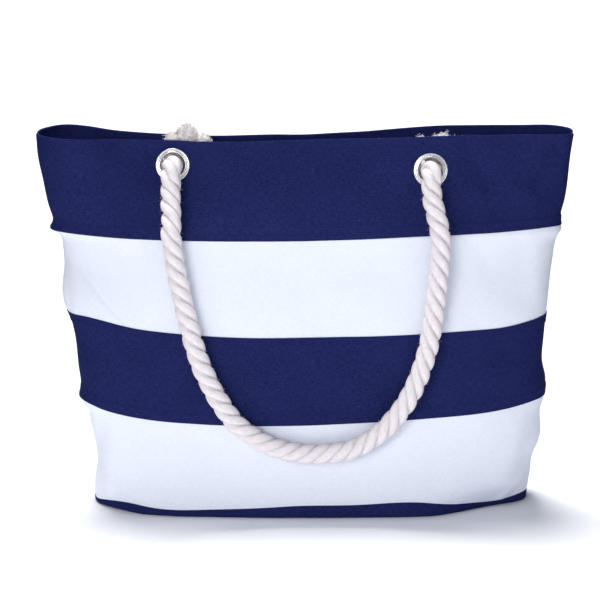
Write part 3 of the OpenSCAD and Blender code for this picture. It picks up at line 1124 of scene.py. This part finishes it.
    def add_stitching(
        self, shape: BodyShape, s: Array, low: Array, high: Array, height: float, inset: Array
    ) -> None:
        """Lays a row of stitches at each stitched edge of the panel.

        Args:
            shape: the body's shape.
            s: shares across of the panel's columns.
            low: shares up of its lower edge.
            high: shares up of its upper edge.
            height: its height in the middle.
            inset: insets of its section's loop, whose first half is the outside.
        """
        up = self.marks(height)
        face = inset[:len(up)] if not self.shows_inside else inset[len(up) + 6:2 * len(up) + 6][::-1]
        rows = []
        heights = [self.low_stitch] if self.low_stitch else []
        if self.high_stitch:
            heights.append(height - self.high_stitch)
        for at in heights:
            depth = float(np.interp(at, up, face))
            fine = np.linspace(s[0], s[-1], 2400)
            v = np.interp(fine, s, low + (high - low) * at / height)
            line = shape.point(self.side, fine, v, depth)
            away = shape.point(self.side, fine, v, depth - MM * (-1 if self.shows_inside else 1))
            rows.append(stitches(line, unit(away - line)))
        if rows:
            piece = add_piece(f"{self.name}_stitching", rows, self.thread)
            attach(piece, "bag")


def stitches(
    line: Array,
    outwards: Array,
    pitch: float = 3.6 * MM,
    gap: float = 0.8 * MM,
    thick: float = 0.5 * MM,
) -> Surface:
    """A row of stitches along a line on the cloth.

    Each stitch is a tube whose radius is thick / 2 times the root of 1 - t^2, with t from -1 to
    1 along it, and whose middle is raised by the cosine of its quarter turn.

    Args:
        line: points close together along the row.
        outwards: the way out of the cloth at each point.
        pitch: distance from one stitch to the next.
        gap: distance between two stitches.
        thick: diameter of the thread.

    Returns:
        The stitches' surface.
    """
    along = arc_length(line)
    count = max(1, int((along[-1] - pitch) / pitch))
    centres = (np.arange(count) + 1) * pitch
    t = np.array([-1, -0.8, -0.35, 0.35, 0.8, 1])
    at = centres[:, None] + t * (pitch - gap) / 2
    pick = [np.interp(at, along, line[:, k]) for k in range(3)]
    out = unit(np.stack([np.interp(at, along, outwards[:, k]) for k in range(3)], -1))
    spot = np.stack(pick, -1) + out * ((0.3 * np.cos(t * math.pi / 2) - 0.05) * thick)[None, :, None]
    way = unit(np.gradient(spot, axis=1))
    beside = np.cross(way, out)
    radius = (thick / 2 * np.sqrt(np.maximum(1 - t**2, 0.06)))[None, :, None, None]
    turn = np.linspace(0, math.tau, 6, endpoint=False)
    ring = beside[:, :, None] * np.cos(turn)[:, None] - out[:, :, None] * np.sin(turn)[:, None]
    return Surface.tubes(spot[:, :, None] - ring * radius, np.linspace(0, pitch, len(t)), math.pi * thick)


@dataclass
class BagBody:
    """The cloth body: eight stripes, the facings, the linings, the pocket and the base."""

    shape: BodyShape
    finishes: Finishes
    canvas: float = 1.4 * MM
    facing_inset: float = 1.6 * MM
    facing: float = 1.0 * MM
    lining_inset: float = 1.6 * MM
    lining: float = 0.6 * MM
    topstitch: float = 6.5 * MM

    def along(self, seam: Seam, shift: float = 0.0) -> Callable[[Array], Array]:
        """The level of a seam, moved up by a distance."""
        return lambda s: seam_level(self.shape, seam, s) + shift / self.shape.rim_height

    def level(self, share: float) -> Callable[[Array], Array]:
        """A level at one share up, all the way across."""
        return lambda s: np.full_like(s, share)

    def build_side(self, side: Side) -> None:
        """Makes the panels of the front or the back."""
        f, word = self.finishes, side.word
        tuck = Hem().tuck
        rim = 1 - self.canvas / self.shape.rim_height
        outer = [
            Panel(
                f"{word}_top_band", side, self.along(Seam.UPPER), self.level(rim), f.navy, f.thread,
                self.canvas, low_edge=Edge.HEM, high_edge=Edge.ROLL, low_stitch=4 * MM,
                high_stitch=self.topstitch, hole=14.0 * MM, columns=301,
            ),
            Panel(
                f"{word}_upper_stripe", side, self.along(Seam.MIDDLE, -tuck),
                self.along(Seam.UPPER, tuck), f.white, f.thread, self.canvas,
            ),
            Panel(
                f"{word}_middle_band", side, self.along(Seam.LOWER), self.along(Seam.MIDDLE),
                f.navy, f.thread, self.canvas, low_edge=Edge.HEM, high_edge=Edge.HEM,
                low_stitch=3.8 * MM, high_stitch=3.8 * MM,
            ),
            Panel(
                f"{word}_lower_stripe", side, self.along(Seam.BASE, -tuck / 2),
                self.along(Seam.LOWER, tuck), f.white, f.thread, self.canvas,
            ),
        ]
        for panel in outer:
            panel.build(self.shape)
        facing_low = box_of(f"{word}_facing")[0].z / self.shape.rim_height
        Panel(
            f"{word}_facing", side, self.level(facing_low),
            self.level(rim - 1.8 * MM / self.shape.rim_height),
            f.navy, f.thread, self.facing, inset=self.facing_inset, low_edge=Edge.HEM, high_edge=Edge.CUT,
            low_stitch=4 * MM, high_stitch=self.topstitch - 1.8 * MM, shows_inside=True, hole=14.0 * MM,
            columns=301, hem=Hem(proud=0.6 * MM),
        ).build(self.shape)
        lining_low = (box_of(f"{word}_lining")[0].z + 2 * MM) / self.shape.rim_height
        Panel(
            f"{word}_lining", side, self.level(lining_low), self.level(facing_low - 0.0006), f.lining,
            f.pale_thread, self.lining, inset=self.lining_inset, low_edge=Edge.CUT, high_edge=Edge.CUT,
            shows_inside=True,
        ).build(self.shape)

    def build_pocket(self) -> None:
        """Makes the patch pocket on the back lining, with a hemmed mouth."""
        low, high = box_of("inner_pocket")
        height = self.shape.rim_height
        half = (self.shape.base_width + (self.shape.rim_width - self.shape.base_width) * 0.5) / 2
        Panel(
            "inner_pocket", Side.BACK, self.level(low.z / height), self.level(high.z / height),
            self.finishes.lining, self.finishes.pale_thread, self.lining,
            inset=self.lining_inset + self.lining + 0.3 * MM, low_edge=Edge.CUT, high_edge=Edge.HEM,
            low_stitch=2.5 * MM, high_stitch=9 * MM, shows_inside=True,
            reach=math.asin((high.x - low.x) / 2 / half) * 2 / math.pi, columns=101,
            hem=Hem(proud=0.5 * MM, fold=10 * MM),
        ).build(self.shape)

    def outline(self, v: Array, inset: Array, columns: int = 240) -> Array:
        """Points right round the body, from the left seam along the front.

        Args:
            v: shares up, one for each row.
            inset: insets, one for each row.
            columns: points along one side.

        Returns:
            A grid (rows, 2 * columns, 3) that wraps.
        """
        s = np.linspace(-1, 1, columns + 1)[:-1]
        front = self.shape.point(Side.FRONT, s, v, inset[:, None])
        back = self.shape.point(Side.BACK, -s, v, inset[:, None])
        return np.concatenate([front, back], 1)

    def build_base(self) -> None:
        """Makes the base panel: flat underneath, turned up all round to the lowest seam.

        Its section runs from the middle of the underside to the edge, up the wall, over the seam
        and down inside, and is carried right round the body.
        """
        columns = 240
        bend = 2.6 * MM
        s = np.linspace(-1, 1, columns + 1)[:-1]
        seam = np.concatenate([seam_level(self.shape, Seam.BASE, s), seam_level(self.shape, Seam.BASE, -s)])
        top = seam + 0.6 * MM / self.shape.rim_height
        turn = np.linspace(0, math.pi / 2, 6)[:, None]
        corner_v = bend * (1 - np.cos(turn)) / self.shape.rim_height
        corner_in = bend * (1 - np.sin(turn))
        climb = np.linspace(0, 1, 7)[1:, None]
        wall_v = corner_v[-1] + (top - corner_v[-1]) * climb
        wall_in = 0.9 * MM * smoothstep((climb - 0.55) / 0.45)
        over = np.linspace(0, math.pi, 6)[1:-1, None]
        over_v = top + 0.35 * MM * np.sin(over) / self.shape.rim_height
        over_in = 1.25 * MM - 0.35 * MM * np.cos(over)
        full = np.ones((1, 2 * columns))
        floor_v = (corner_v[::-1] + self.canvas / self.shape.rim_height) * full
        inside_v = np.concatenate([wall_v[::-1], floor_v])
        inside_in = np.concatenate([np.maximum(wall_in[::-1], self.canvas), corner_in[::-1] + self.canvas])
        v = np.concatenate([corner_v * full, wall_v, over_v, inside_v])
        inset = np.concatenate([corner_in, wall_in, over_in, inside_in])
        front = self.shape.point(Side.FRONT, s[None, :], v[:, :columns], inset)
        back = self.shape.point(Side.BACK, -s[None, :], v[:, columns:], inset)
        wall = np.concatenate([front, back], 1)
        wall[..., 2] = np.maximum(wall[..., 2], 0)
        steps = np.linalg.norm(np.diff(np.concatenate([wall, wall[:, :1]], 1), axis=1), axis=2)
        around = np.concatenate([np.zeros((len(wall), 1)), np.cumsum(steps, 1)], 1)
        upwards = arc_length(wall[:, columns // 2])[:, None]
        places = np.stack([around, np.broadcast_to(upwards, around.shape)], -1)
        sides = Surface.grid(wall, places, wrap_columns=True)
        parts = [sides, self.floor(wall[0], False), self.floor(wall[-1], True)]
        piece = add_piece("base_panel_cloth", parts, self.finishes.navy, sharp=80)
        weld(piece)
        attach(piece, "bag")
        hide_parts("base_panel")

    def floor(self, edge: Array, upwards: bool) -> Surface:
        """A flat floor inside an edge: rings of the edge, drawn in to its middle.

        Args:
            edge: points round the edge.
            upwards: whether the floor faces up.

        Returns:
            The floor's surface.
        """
        share = np.linspace(1, 0.02, 24)[:, None, None]
        middle = edge.mean(0)
        grid = middle + (edge[None] - middle) * share
        around = np.concatenate([grid, grid[:, :1]], 1)
        surface = Surface.grid(grid, around[..., :2], wrap_columns=True, turned=not upwards)
        last = list(range(23 * len(edge), 24 * len(edge)))
        surface.caps = [last if upwards else last[::-1]]
        return surface

    def build_plates(self) -> None:
        """Makes the board in the base and the lining over it, each a thin plate."""
        for name, finish, sheet_of_cloth in (
            ("base_board", self.finishes.board, False),
            ("base_lining", self.finishes.lining, True),
        ):
            low, high = box_of(name)
            edge = self.outline(np.zeros((1, 1)), np.array([4 * MM]))[0]
            scale = (high.x - low.x) / (edge[:, 0].max() - edge[:, 0].min())
            edge = edge * np.array([scale, scale, 0])
            top, under = edge + [0, 0, high.z], edge + [0, 0, low.z]
            rim = np.stack([under, top])
            steps = np.linalg.norm(np.diff(np.concatenate([edge, edge[:1]]), axis=0), axis=1)
            around = np.concatenate([[0], np.cumsum(steps)])
            places = np.stack([np.stack([around, np.full_like(around, z)], -1) for z in (low.z, high.z)])
            wall = Surface.grid(rim, places, wrap_columns=True)
            parts = [wall, self.floor(top, True), self.floor(under, False)]
            piece = add_piece(f"{name}_plate", parts, finish, sharp=40)
            weld(piece)
            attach(piece, "bag")
            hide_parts(name)

    def build(self) -> None:
        """Makes every cloth piece of the body."""
        for side in Side:
            self.build_side(side)
        self.build_pocket()
        self.build_base()
        self.build_plates()


def weld(piece: bpy.types.Object) -> None:
    """Joins the points of a piece that lie in one place."""
    work = bmesh.new()
    work.from_mesh(piece.data)
    bmesh.ops.remove_doubles(work, verts=work.verts, dist=0.001 * MM)
    work.to_mesh(piece.data)
    work.free()


# ---------------------------------------------------------------------------------------------
# Metal, rope, knots and frayed ends
# ---------------------------------------------------------------------------------------------


def across_axis(axis: Array) -> tuple[Array, Array]:
    """Two directions square to an axis and to each other, so that first x second is the axis."""
    axis = unit(np.asarray(axis, float))
    helper = np.where(np.abs(axis[..., 2:3]) < 0.9, [0.0, 0.0, 1.0], [1.0, 0.0, 0.0])
    first = unit(np.cross(helper, axis))
    return first, np.cross(axis, first)


def revolved(profile: list[tuple[float, float]], centre: Array, axis: Array, steps: int = 144) -> Surface:
    """A closed profile of (radius, height) points carried round an axis.

    Args:
        profile: points in millimetres, counterclockwise with the radius to the right.
        centre: where the height is 0.
        axis: the way that the height rises.
        steps: points round the axis.

    Returns:
        The ring's surface.
    """
    closed = [[r, 0.0, h] for r, h in [*profile, profile[0]]]
    fine = smooth_path(closed, 0.3)[:-1] * MM
    first, second = across_axis(axis)
    turn = np.linspace(0, math.tau, steps, endpoint=False)[None, :, None]
    radius, height = fine[:, 0, None, None], fine[:, 2, None, None]
    ring = centre + radius * (first * np.cos(turn) + second * np.sin(turn)) + height * unit(axis)
    u, v = np.meshgrid(np.linspace(0, 0.1, steps + 1), np.linspace(0, 0.05, len(fine) + 1))
    return Surface.grid(ring, np.stack([u, v], -1), wrap_rows=True, wrap_columns=True)


@dataclass
class Grommet:
    """A two-part metal eyelet: a rolled flange and barrel outside, and a washer inside."""

    side: Side
    hand: Hand
    shape: BodyShape
    nickel: bpy.types.Material
    flange: tuple[tuple[float, float], ...] = (
        (15.4, -0.1), (15.9, 0.15), (16.0, 0.6), (15.8, 1.2), (15.3, 1.5), (14.75, 1.4), (14.35, 1.0),
        (13.9, 0.9), (13.55, 1.3), (13.2, 2.0), (12.7, 2.55), (12.1, 2.6), (11.55, 2.1), (11.25, 1.2),
        (11.2, 0.4), (11.2, -3.2), (11.3, -4.1), (11.7, -4.6), (12.4, -4.75), (13.0, -4.5), (13.1, -4.1),
        (12.6, -3.95), (12.2, -3.7), (12.15, -2.0), (12.2, -0.3), (12.6, -0.1),
    )
    washer: tuple[tuple[float, float], ...] = (
        (12.4, -3.75), (13.4, -3.8), (14.6, -3.95), (15.8, -3.8), (16.4, -3.45), (16.4, -3.15), (16.0, -3.0),
        (14.2, -3.0), (12.4, -3.05),
    )

    def build(self) -> None:
        """Makes the eyelet and its washer."""
        centre = self.shape.eyelet_centre(self.side, self.hand)
        axis = self.shape.eyelet_axis(self.side, self.hand)
        for kind, profile in (("eyelet", self.flange), ("washer", self.washer)):
            name = f"{self.side.word}_{self.hand.word}_{kind}"
            surface = facing_out(revolved(list(profile), centre, axis))
            piece = add_piece(f"{name}_ring", [surface], self.nickel)
            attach(piece, "bag")
            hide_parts(name)


def facing_out(surface: Surface) -> Surface:
    """Turns a closed surface the right way: its volume, as a sum of cones, comes out positive."""
    a, b, c, d = (surface.points[surface.faces[:, k]] for k in range(4))
    volume = (np.cross(a, b) * c).sum() + (np.cross(a, c) * d).sum()
    if volume < 0:
        surface.faces, surface.places = surface.faces[:, ::-1], surface.places[:, ::-1]
        surface.caps = [cap[::-1] for cap in surface.caps]
    return surface


def laid_rope(path: Array, guide: Array, radius: Array | float, lay: float, sides: int = 20) -> list[Surface]:
    """Three strands laid round a path, with a left-hand twist.

    Strand k runs at path + r (a cos f + b sin f), with f = 2 pi k / 3 - 2 pi l / lay at the
    distance l, where a and b are square to the path. Round each strand's own line goes a circle.

    Args:
        path: points at even distances along the rope's middle.
        guide: a direction at each point that is never along the path.
        radius: the rope's radius.
        lay: length of one full turn of a strand.
        sides: points round a strand.

    Returns:
        One surface for each strand.
    """
    way = unit(np.gradient(path, axis=0))
    a = unit(guide - (guide * way).sum(1, keepdims=True) * way)
    b = np.cross(way, a)
    along = arc_length(path)
    strand_r = 0.485 * radius
    offset = radius - strand_r
    turn = np.linspace(0, math.tau, sides, endpoint=False)
    strands = []
    for k in range(3):
        f = math.tau * k / 3 - math.tau * along / lay
        out = a * np.cos(f)[:, None] + b * np.sin(f)[:, None]
        line = path + out * np.reshape(offset, (-1, 1))
        strand_way = unit(np.gradient(line, axis=0))
        e1 = unit(out - (out * strand_way).sum(1, keepdims=True) * strand_way)
        e2 = np.cross(strand_way, e1)
        uneven = 1 + 0.025 * np.sin(along / 0.0171 + 2.1 * k) + 0.02 * np.sin(along / 0.0067 + k)
        ring_r = (np.reshape(strand_r, (-1,)) * uneven)[:, None, None]
        flat = 1 - 0.06 * np.cos(2 * turn)
        rings = line[:, None] + ring_r * (
            e1[:, None] * (np.cos(turn) * flat)[:, None] + e2[:, None] * (np.sin(turn) / flat)[:, None]
        )
        girth = math.tau * float(np.mean(strand_r))
        strands.append(Surface.tubes(rings[None], arc_length(line), girth))
    return strands


def fibres(
    base: Array, way: Array, length: Array, radius: float, curl: Array, seed: int, rings: int = 8
) -> Surface:
    """Thin wavy fibres, each a three-sided tube.

    A fibre's middle is base + way l t + e1 c t sin(2 pi f t + p) + e2 c t sin(2 pi g t + q), for
    t from 0 to 1, and its radius falls off to a third.

    Args:
        base: where each fibre starts (n, 3).
        way: the direction of each.
        length: the length of each.
        radius: radius at the base.
        curl: how far each swings out of line.
        seed: which waves they have.
        rings: points along a fibre.

    Returns:
        The fibres' surface.
    """
    rng = np.random.default_rng(seed)
    count = len(base)
    way = unit(way)
    e1, e2 = across_axis(way)
    t = np.linspace(0, 1, rings)[None, :, None]
    rate = rng.uniform(0.7, 2.4, (2, count, 1, 1))
    phase = rng.uniform(0, math.tau, (2, count, 1, 1))
    swing = curl[:, None, None] * t**0.8
    middle = base[:, None] + way[:, None] * length[:, None, None] * t
    middle = middle + e1[:, None] * swing * np.sin(math.tau * rate[0] * t + phase[0])
    middle = middle + e2[:, None] * swing * np.sin(math.tau * rate[1] * t + phase[1])
    turn = np.linspace(0, math.tau, 3, endpoint=False)
    side = e1[:, None, None] * np.cos(turn)[:, None] + e2[:, None, None] * np.sin(turn)[:, None]
    thick = radius * (1 - 0.65 * t)[..., None]
    along = np.linspace(0, float(length.mean()), rings)
    return Surface.tubes(middle[:, :, None] + side * thick, along, math.tau * radius)


LEFT_HINGE, RIGHT_HINGE = [-0.124, -0.036, 0.327], [0.117, -0.051, 0.325]
# The front handle from its left eyelet to its right one, as in the CAD source.
HANDLE_ROUTE = [
    [-0.125, -0.039, 0.312], [-0.125, -0.046, 0.299], [-0.124, -0.055, 0.285],
    [-0.124, -0.063, 0.270], [-0.121, -0.067, 0.248], [-0.117, -0.071, 0.226], [-0.106, -0.079, 0.181],
    [-0.096, -0.082, 0.149], [-0.080, -0.084, 0.117], [-0.061, -0.085, 0.092], [-0.035, -0.085, 0.075],
    [-0.012, -0.085, 0.068], [0.011, -0.085, 0.066], [0.045, -0.085, 0.071], [0.073, -0.085, 0.089],
    [0.095, -0.084, 0.117], [0.109, -0.082, 0.149], [0.117, -0.079, 0.181], [0.123, -0.072, 0.226],
    [0.125, -0.068, 0.248], [0.125, -0.065, 0.270], [0.121, -0.061, 0.288], [0.118, -0.057, 0.301],
    [0.117, -0.053, 0.313],
]
# From inside each eyelet to its knot, for the front and for the back.
END_ROUTES = {
    (Side.FRONT, Hand.LEFT): [
        [-0.124, -0.0245, 0.3285], [-0.124, -0.018, 0.3275],
        [-0.1225, -0.013, 0.3265], [-0.120, -0.0095, 0.3255],
    ],
    (Side.FRONT, Hand.RIGHT): [
        [0.117, -0.0405, 0.3265], [0.117, -0.034, 0.3255],
        [0.118, -0.028, 0.324], [0.121, -0.023, 0.322],
    ],
    (Side.BACK, Hand.LEFT): [
        [-0.124, 0.0245, 0.3285], [-0.124, 0.018, 0.3275],
        [-0.1255, 0.013, 0.3265], [-0.128, 0.0095, 0.3255],
    ],
    (Side.BACK, Hand.RIGHT): [
        [0.117, 0.0405, 0.3265], [0.117, 0.034, 0.3255],
        [0.115, 0.028, 0.324], [0.111, 0.023, 0.322],
    ],
}


@dataclass(frozen=True)
class Lump:
    """A lump of a frayed end: an ellipsoid that its yarns end in, in millimetres."""

    centre: tuple[float, float, float]
    half: tuple[float, float, float]
    yarns: int

    def spots(self, rng: np.random.Generator, inner: float) -> Array:
        """Random places in the lump, none nearer its middle than the share inner."""
        way = unit(rng.normal(0, 1, (self.yarns, 3)))
        share = rng.uniform(inner**3, 1, (self.yarns, 1)) ** (1 / 3)
        return (np.array(self.centre) + way * share * np.array(self.half)) * MM


def ball(centre: tuple[float, float, float], half: Array) -> Surface:
    """An ellipsoid of rings from bottom to top, its poles closed by flat faces.

    Args:
        centre: its middle, in millimetres.
        half: its three half sizes, in millimetres.

    Returns:
        The ellipsoid's surface.
    """
    up = np.radians(np.linspace(-82, 82, 13))[:, None]
    turn = np.linspace(0, math.tau, 24, endpoint=False)[None]
    ring = np.stack([np.cos(up) * np.cos(turn), np.cos(up) * np.sin(turn), np.sin(up) + 0 * turn], -1)
    points = (np.array(centre) + ring * half) * MM
    u, v = np.meshgrid(np.linspace(0, 0.06, 25), np.linspace(0, 0.03, 13))
    surface = Surface.grid(points, np.stack([u, v], -1), wrap_columns=True)
    surface.caps = [list(range(23, -1, -1)), list(range(12 * 24, 13 * 24))]
    return surface


FRAYED_ENDS = {
    (Side.FRONT, Hand.LEFT): (
        Lump((-111, -4, 351), (12, 9, 15.5), 380),
        Lump((-124, -4, 349), (8.5, 8, 9), 170),
        Lump((-96, -5, 349), (8, 8, 7.5), 130),
    ),
    (Side.FRONT, Hand.RIGHT): (
        Lump((128, -14, 347.5), (10, 9, 10.5), 320),
        Lump((108, -16, 347.5), (6, 7, 8), 100),
        Lump((143, -16, 347), (6, 7, 9), 100),
    ),
    (Side.BACK, Hand.LEFT): (Lump((-131, 4, 299), (10, 7, 17), 330),),
    (Side.BACK, Hand.RIGHT): (Lump((111, 14, 297), (10, 7, 17), 330),),
}


@dataclass
class Handle:
    """A rope handle: one three-strand rope through two eyelets, with a knot behind each."""

    side: Side
    shape: BodyShape
    finishes: Finishes
    diameter: float = 19.5 * MM
    lay: float = 43 * MM
    ring_step: float = 1.6 * MM

    @property
    def body(self) -> str:
        """The CAD body that the handle is."""
        return f"{self.side.word}_handle"

    def mirrored(self, point: list[float]) -> list[float]:
        """A point of the front handle, on this handle's side."""
        return [point[0], -self.side.value * point[1], point[2]]

    def path(self) -> Array:
        """The rope's middle line, from its left knot out, down and up again to its right knot."""
        left = END_ROUTES[self.side, Hand.LEFT][::-1]
        right = END_ROUTES[self.side, Hand.RIGHT]
        out_left = self.mirrored([-0.1245, -0.0315, 0.3275])
        out_right = self.mirrored([0.1170, -0.0470, 0.3255])
        bend_left = self.mirrored([-0.125, -0.0375, 0.3215])
        bend_right = self.mirrored([0.117, -0.0525, 0.3205])
        loop = [self.mirrored(p) for p in HANDLE_ROUTE]
        return smooth_path([*left, out_left, bend_left, *loop, bend_right, out_right, *right], self.ring_step)

    def guide(self, path: Array) -> Array:
        """A direction that turns with the rope: up in the eyelets, and away from the bag below."""
        through = np.abs(unit(np.gradient(path, axis=0))[:, 1])
        return np.stack([np.zeros_like(through), self.side.value * (1 - through), through], -1)

    def build_rope(self) -> None:
        """Makes the rope and its fuzz, with their placement baked into their points."""
        path = self.path()
        strands = laid_rope(path, self.guide(path), self.diameter / 2, self.lay)
        rope = add_piece(f"{self.side.word}_rope_strands", strands, self.finishes.rope)
        fuzz = add_piece(f"{self.side.word}_rope_fuzz", [self.fuzz(path)], self.finishes.fray)
        for piece in (rope, fuzz):
            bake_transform(piece)
        ends = [f"{self.side.word}_{hand.word}_rope_end" for hand in Hand]
        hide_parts(f"{self.side.word}_rope", *ends)

    def bend(self) -> tuple[tuple[float, float, float], tuple[float, float, float]]:
        """Where the rope stops following the bag and starts following the handle.

        The way from one to the other is square to the line between the two eyelets.

        Returns:
            The two points.
        """
        left, right = np.array(LEFT_HINGE), np.array(RIGHT_HINGE)
        line = unit(right - left)
        out = np.array([line[1], -line[0], 0])
        start, end = left - out * 11 * MM, left + out * 2 * MM
        return tuple(self.mirrored(start.tolist())), tuple(self.mirrored(end.tolist()))

    def fuzz(self, path: Array) -> Surface:
        """Short loose fibres that stand out of the rope."""
        rng = np.random.default_rng(5 if self.side is Side.FRONT else 6)
        count = 3200
        at = rng.integers(8, len(path) - 8, count)
        way = unit(np.gradient(path, axis=0))[at]
        a, b = across_axis(way)
        turn = rng.uniform(0, math.tau, (count, 1))
        out = a * np.cos(turn) + b * np.sin(turn)
        lean = out + way * rng.normal(0, 0.9, (count, 1))
        lean = lean + np.cross(way, out) * rng.normal(0, 0.9, (count, 1))
        base = path[at] + out * self.diameter * 0.44
        length = rng.uniform(1.0, 3.2, count) * MM
        return fibres(base, lean, length, 0.07 * MM, rng.uniform(0.2, 0.9, count) * MM, 7, rings=5)

    def build_knot(self, hand: Hand) -> None:
        """Makes a knot: the rope drawn tight along a trefoil.

        The trefoil is (sin t + 2 sin 2t, cos t - 2 cos 2t, -1.9 sin 3t), for t round a full turn.

        Args:
            hand: left or right end.
        """
        name = f"{self.side.word}_{hand.word}_knot"
        low, high = box_of(name)
        centre, size = np.array((low + high) / 2), (high.x - low.x) / 2
        t = np.linspace(0, math.tau, 130)
        thick = 0.37 * size
        reach = (size - thick) / 3
        loop = np.stack(
            [np.sin(t) + 2 * np.sin(2 * t), np.cos(t) - 2 * np.cos(2 * t), -1.9 * np.sin(3 * t)], -1
        )
        path = centre + loop * reach
        out = np.stack([np.zeros_like(t), np.zeros_like(t), np.ones_like(t)], -1)
        strands = laid_rope(path, out, thick, self.lay * 0.75, sides=16)
        piece = add_piece(f"{name}_strands", strands, self.finishes.rope)
        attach(piece, "bag")
        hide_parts(name)

    def build_tassel(self, hand: Hand) -> None:
        """Makes the frayed end: lumps of cotton, yarns from the knot to them, and curled tufts.

        Args:
            hand: left or right end.
        """
        low, high = box_of(f"{self.side.word}_{hand.word}_knot")
        knot = np.array((low + high) / 2)
        rng = np.random.default_rng(31 + 2 * self.side.value + hand.value)
        parts = []
        for lump in FRAYED_ENDS[self.side, hand]:
            tip = lump.spots(rng, 0.45)
            base = knot + (tip - knot) * 0.3 + rng.normal(0, 2, tip.shape) * MM
            length = np.linalg.norm(tip - base, axis=1)
            curl = rng.uniform(0.8, 2.4, lump.yarns) * MM
            parts.append(fibres(base, tip - base, length, 0.5 * MM, curl, 17 + hand.value, rings=10))
            tuft = lump.spots(rng, 0.6)
            away = unit(tuft - np.array(lump.centre) * MM) + rng.normal(0, 0.9, tuft.shape)
            length, curl = rng.uniform(3, 7, lump.yarns) * MM, rng.uniform(1, 2.6, lump.yarns) * MM
            parts.append(fibres(tuft - unit(away) * 2 * MM, away, length, 0.45 * MM, curl, 41 + hand.value))
            parts.append(ball(lump.centre, np.array(lump.half) * 0.8))
        name = f"{self.side.word}_{hand.word}_tassel"
        piece = add_piece(f"{name}_yarns", parts, self.finishes.fray)
        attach(piece, "bag")
        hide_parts(name)

    def build(self) -> None:
        """Makes the handle and all that belongs to it."""
        for hand in Hand:
            Grommet(self.side, hand, self.shape, self.finishes.nickel).build()
            self.build_knot(hand)
            self.build_tassel(hand)
        self.build_rope()


# ---------------------------------------------------------------------------------------------
# Studio
# ---------------------------------------------------------------------------------------------


@dataclass(frozen=True)
class SoftBox:
    """A square studio lamp."""

    name: str
    place: tuple[float, float, float]
    aim: tuple[float, float, float]
    size: float
    power: float
    colour: Colour = (1.0, 1.0, 1.0)

    def build(self) -> None:
        """Hangs the lamp and turns it to its aim."""
        light = bpy.data.lights.new(self.name, "AREA")
        light.shape, light.size = "SQUARE", self.size
        light.energy, light.color = self.power, self.colour
        lamp = bpy.data.objects.new(self.name, light)
        lamp.location = self.place
        lamp.rotation_euler = (Vector(self.aim) - Vector(self.place)).to_track_quat("-Z", "Y").to_euler()
        bpy.context.scene.collection.objects.link(lamp)


@dataclass(frozen=True)
class Studio:
    """The plain floor, the lamps and the camera."""

    eye: tuple[float, float, float] = (-4.7 * MM, -2.170, 0.660)
    tilt_down: float = 12.1
    lens: float = 139.0
    lamps: tuple[SoftBox, ...] = (
        SoftBox("key_lamp", (-1.7, -4.25, 1.5), (0, 0, 0.15), 1.8, 84, (1.0, 0.98, 0.95)),
    )
    card_distance: float = 0.6
    sky: float = 0.45
    back_light: float = 3.8

    def build_camera(self) -> None:
        """Sets the camera at the height of a person who looks down at the bag a little."""
        camera = bpy.data.cameras.new("camera")
        camera.lens, camera.sensor_width = self.lens, 36
        seat = bpy.data.objects.new("camera", camera)
        seat.location = self.eye
        seat.rotation_euler = (math.radians(90 - self.tilt_down), 0, 0)
        bpy.context.scene.collection.objects.link(seat)
        bpy.context.scene.camera = seat

    def build_floor(self) -> None:
        """Lays a pale floor out to the horizon."""
        reach = 30.0
        mesh = bpy.data.meshes.new("floor")
        corners = [(-reach, -reach, 0), (reach, -reach, 0), (reach, reach, 0), (-reach, reach, 0)]
        mesh.from_pydata(corners, [], [(0, 1, 2, 3)])
        material, _, shader = dressed("floor")
        shader.inputs["Base Color"].default_value = (0.9, 0.905, 0.93, 1)
        shader.inputs["Roughness"].default_value = 0.9
        shader.inputs["Specular IOR Level"].default_value = 0.1
        mesh.materials.append(material)
        floor = bpy.data.objects.new("floor", mesh)
        bpy.context.scene.collection.objects.link(floor)

    def build_cards(self) -> None:
        """Stands a dark card beyond each end of the bag, which only its light meets."""
        material, _, shader = dressed("dark_card")
        shader.inputs["Base Color"].default_value = (0.04, 0.04, 0.06, 1)
        shader.inputs["Roughness"].default_value = 0.9
        for hand in Hand:
            x = hand.value * self.card_distance
            name = f"{hand.word}_dark_card"
            mesh = bpy.data.meshes.new(name)
            corners = [(x, -0.35, 0.02), (x, 0.45, 0.02), (x, 0.45, 0.7), (x, -0.35, 0.7)]
            mesh.from_pydata(corners, [], [(0, 1, 2, 3)])
            mesh.materials.append(material)
            card = bpy.data.objects.new(name, mesh)
            card.visible_camera = False
            bpy.context.scene.collection.objects.link(card)

    def build_light(self) -> None:
        """Lights the scene: an even pale sky and the lamps."""
        scene = bpy.context.scene
        scene.world = bpy.data.worlds.new("studio")
        scene.world.use_nodes = True
        sky = scene.world.node_tree.nodes["Background"]
        sky.inputs["Color"].default_value = (0.8, 0.85, 1.0, 1)
        sky.inputs["Strength"].default_value = self.sky
        sun = bpy.data.lights.new("back_light", "SUN")
        sun.energy, sun.angle, sun.color = self.back_light, math.radians(25), (1.0, 0.985, 0.95)
        high = bpy.data.objects.new("back_light", sun)
        high.rotation_euler = Vector((-0.12, 0.32, 1.0)).to_track_quat("Z", "Y").to_euler()
        scene.collection.objects.link(high)
        scene.view_settings.view_transform = "Standard"
        for lamp in self.lamps:
            lamp.build()


def main() -> None:
    """Builds the studio's camera, the handles, the bag's body and the light, in that order."""
    studio = Studio()
    studio.build_camera()
    shape = BodyShape.from_frame()
    finishes = Finishes.make()
    for side in Side:
        Handle(side, shape, finishes).build()
    BagBody(shape, finishes).build()
    studio.build_floor()
    studio.build_cards()
    studio.build_light()


if __name__ == "__main__":
    logging.basicConfig(level=logging.INFO, format="%(name)s: %(message)s")
    main()
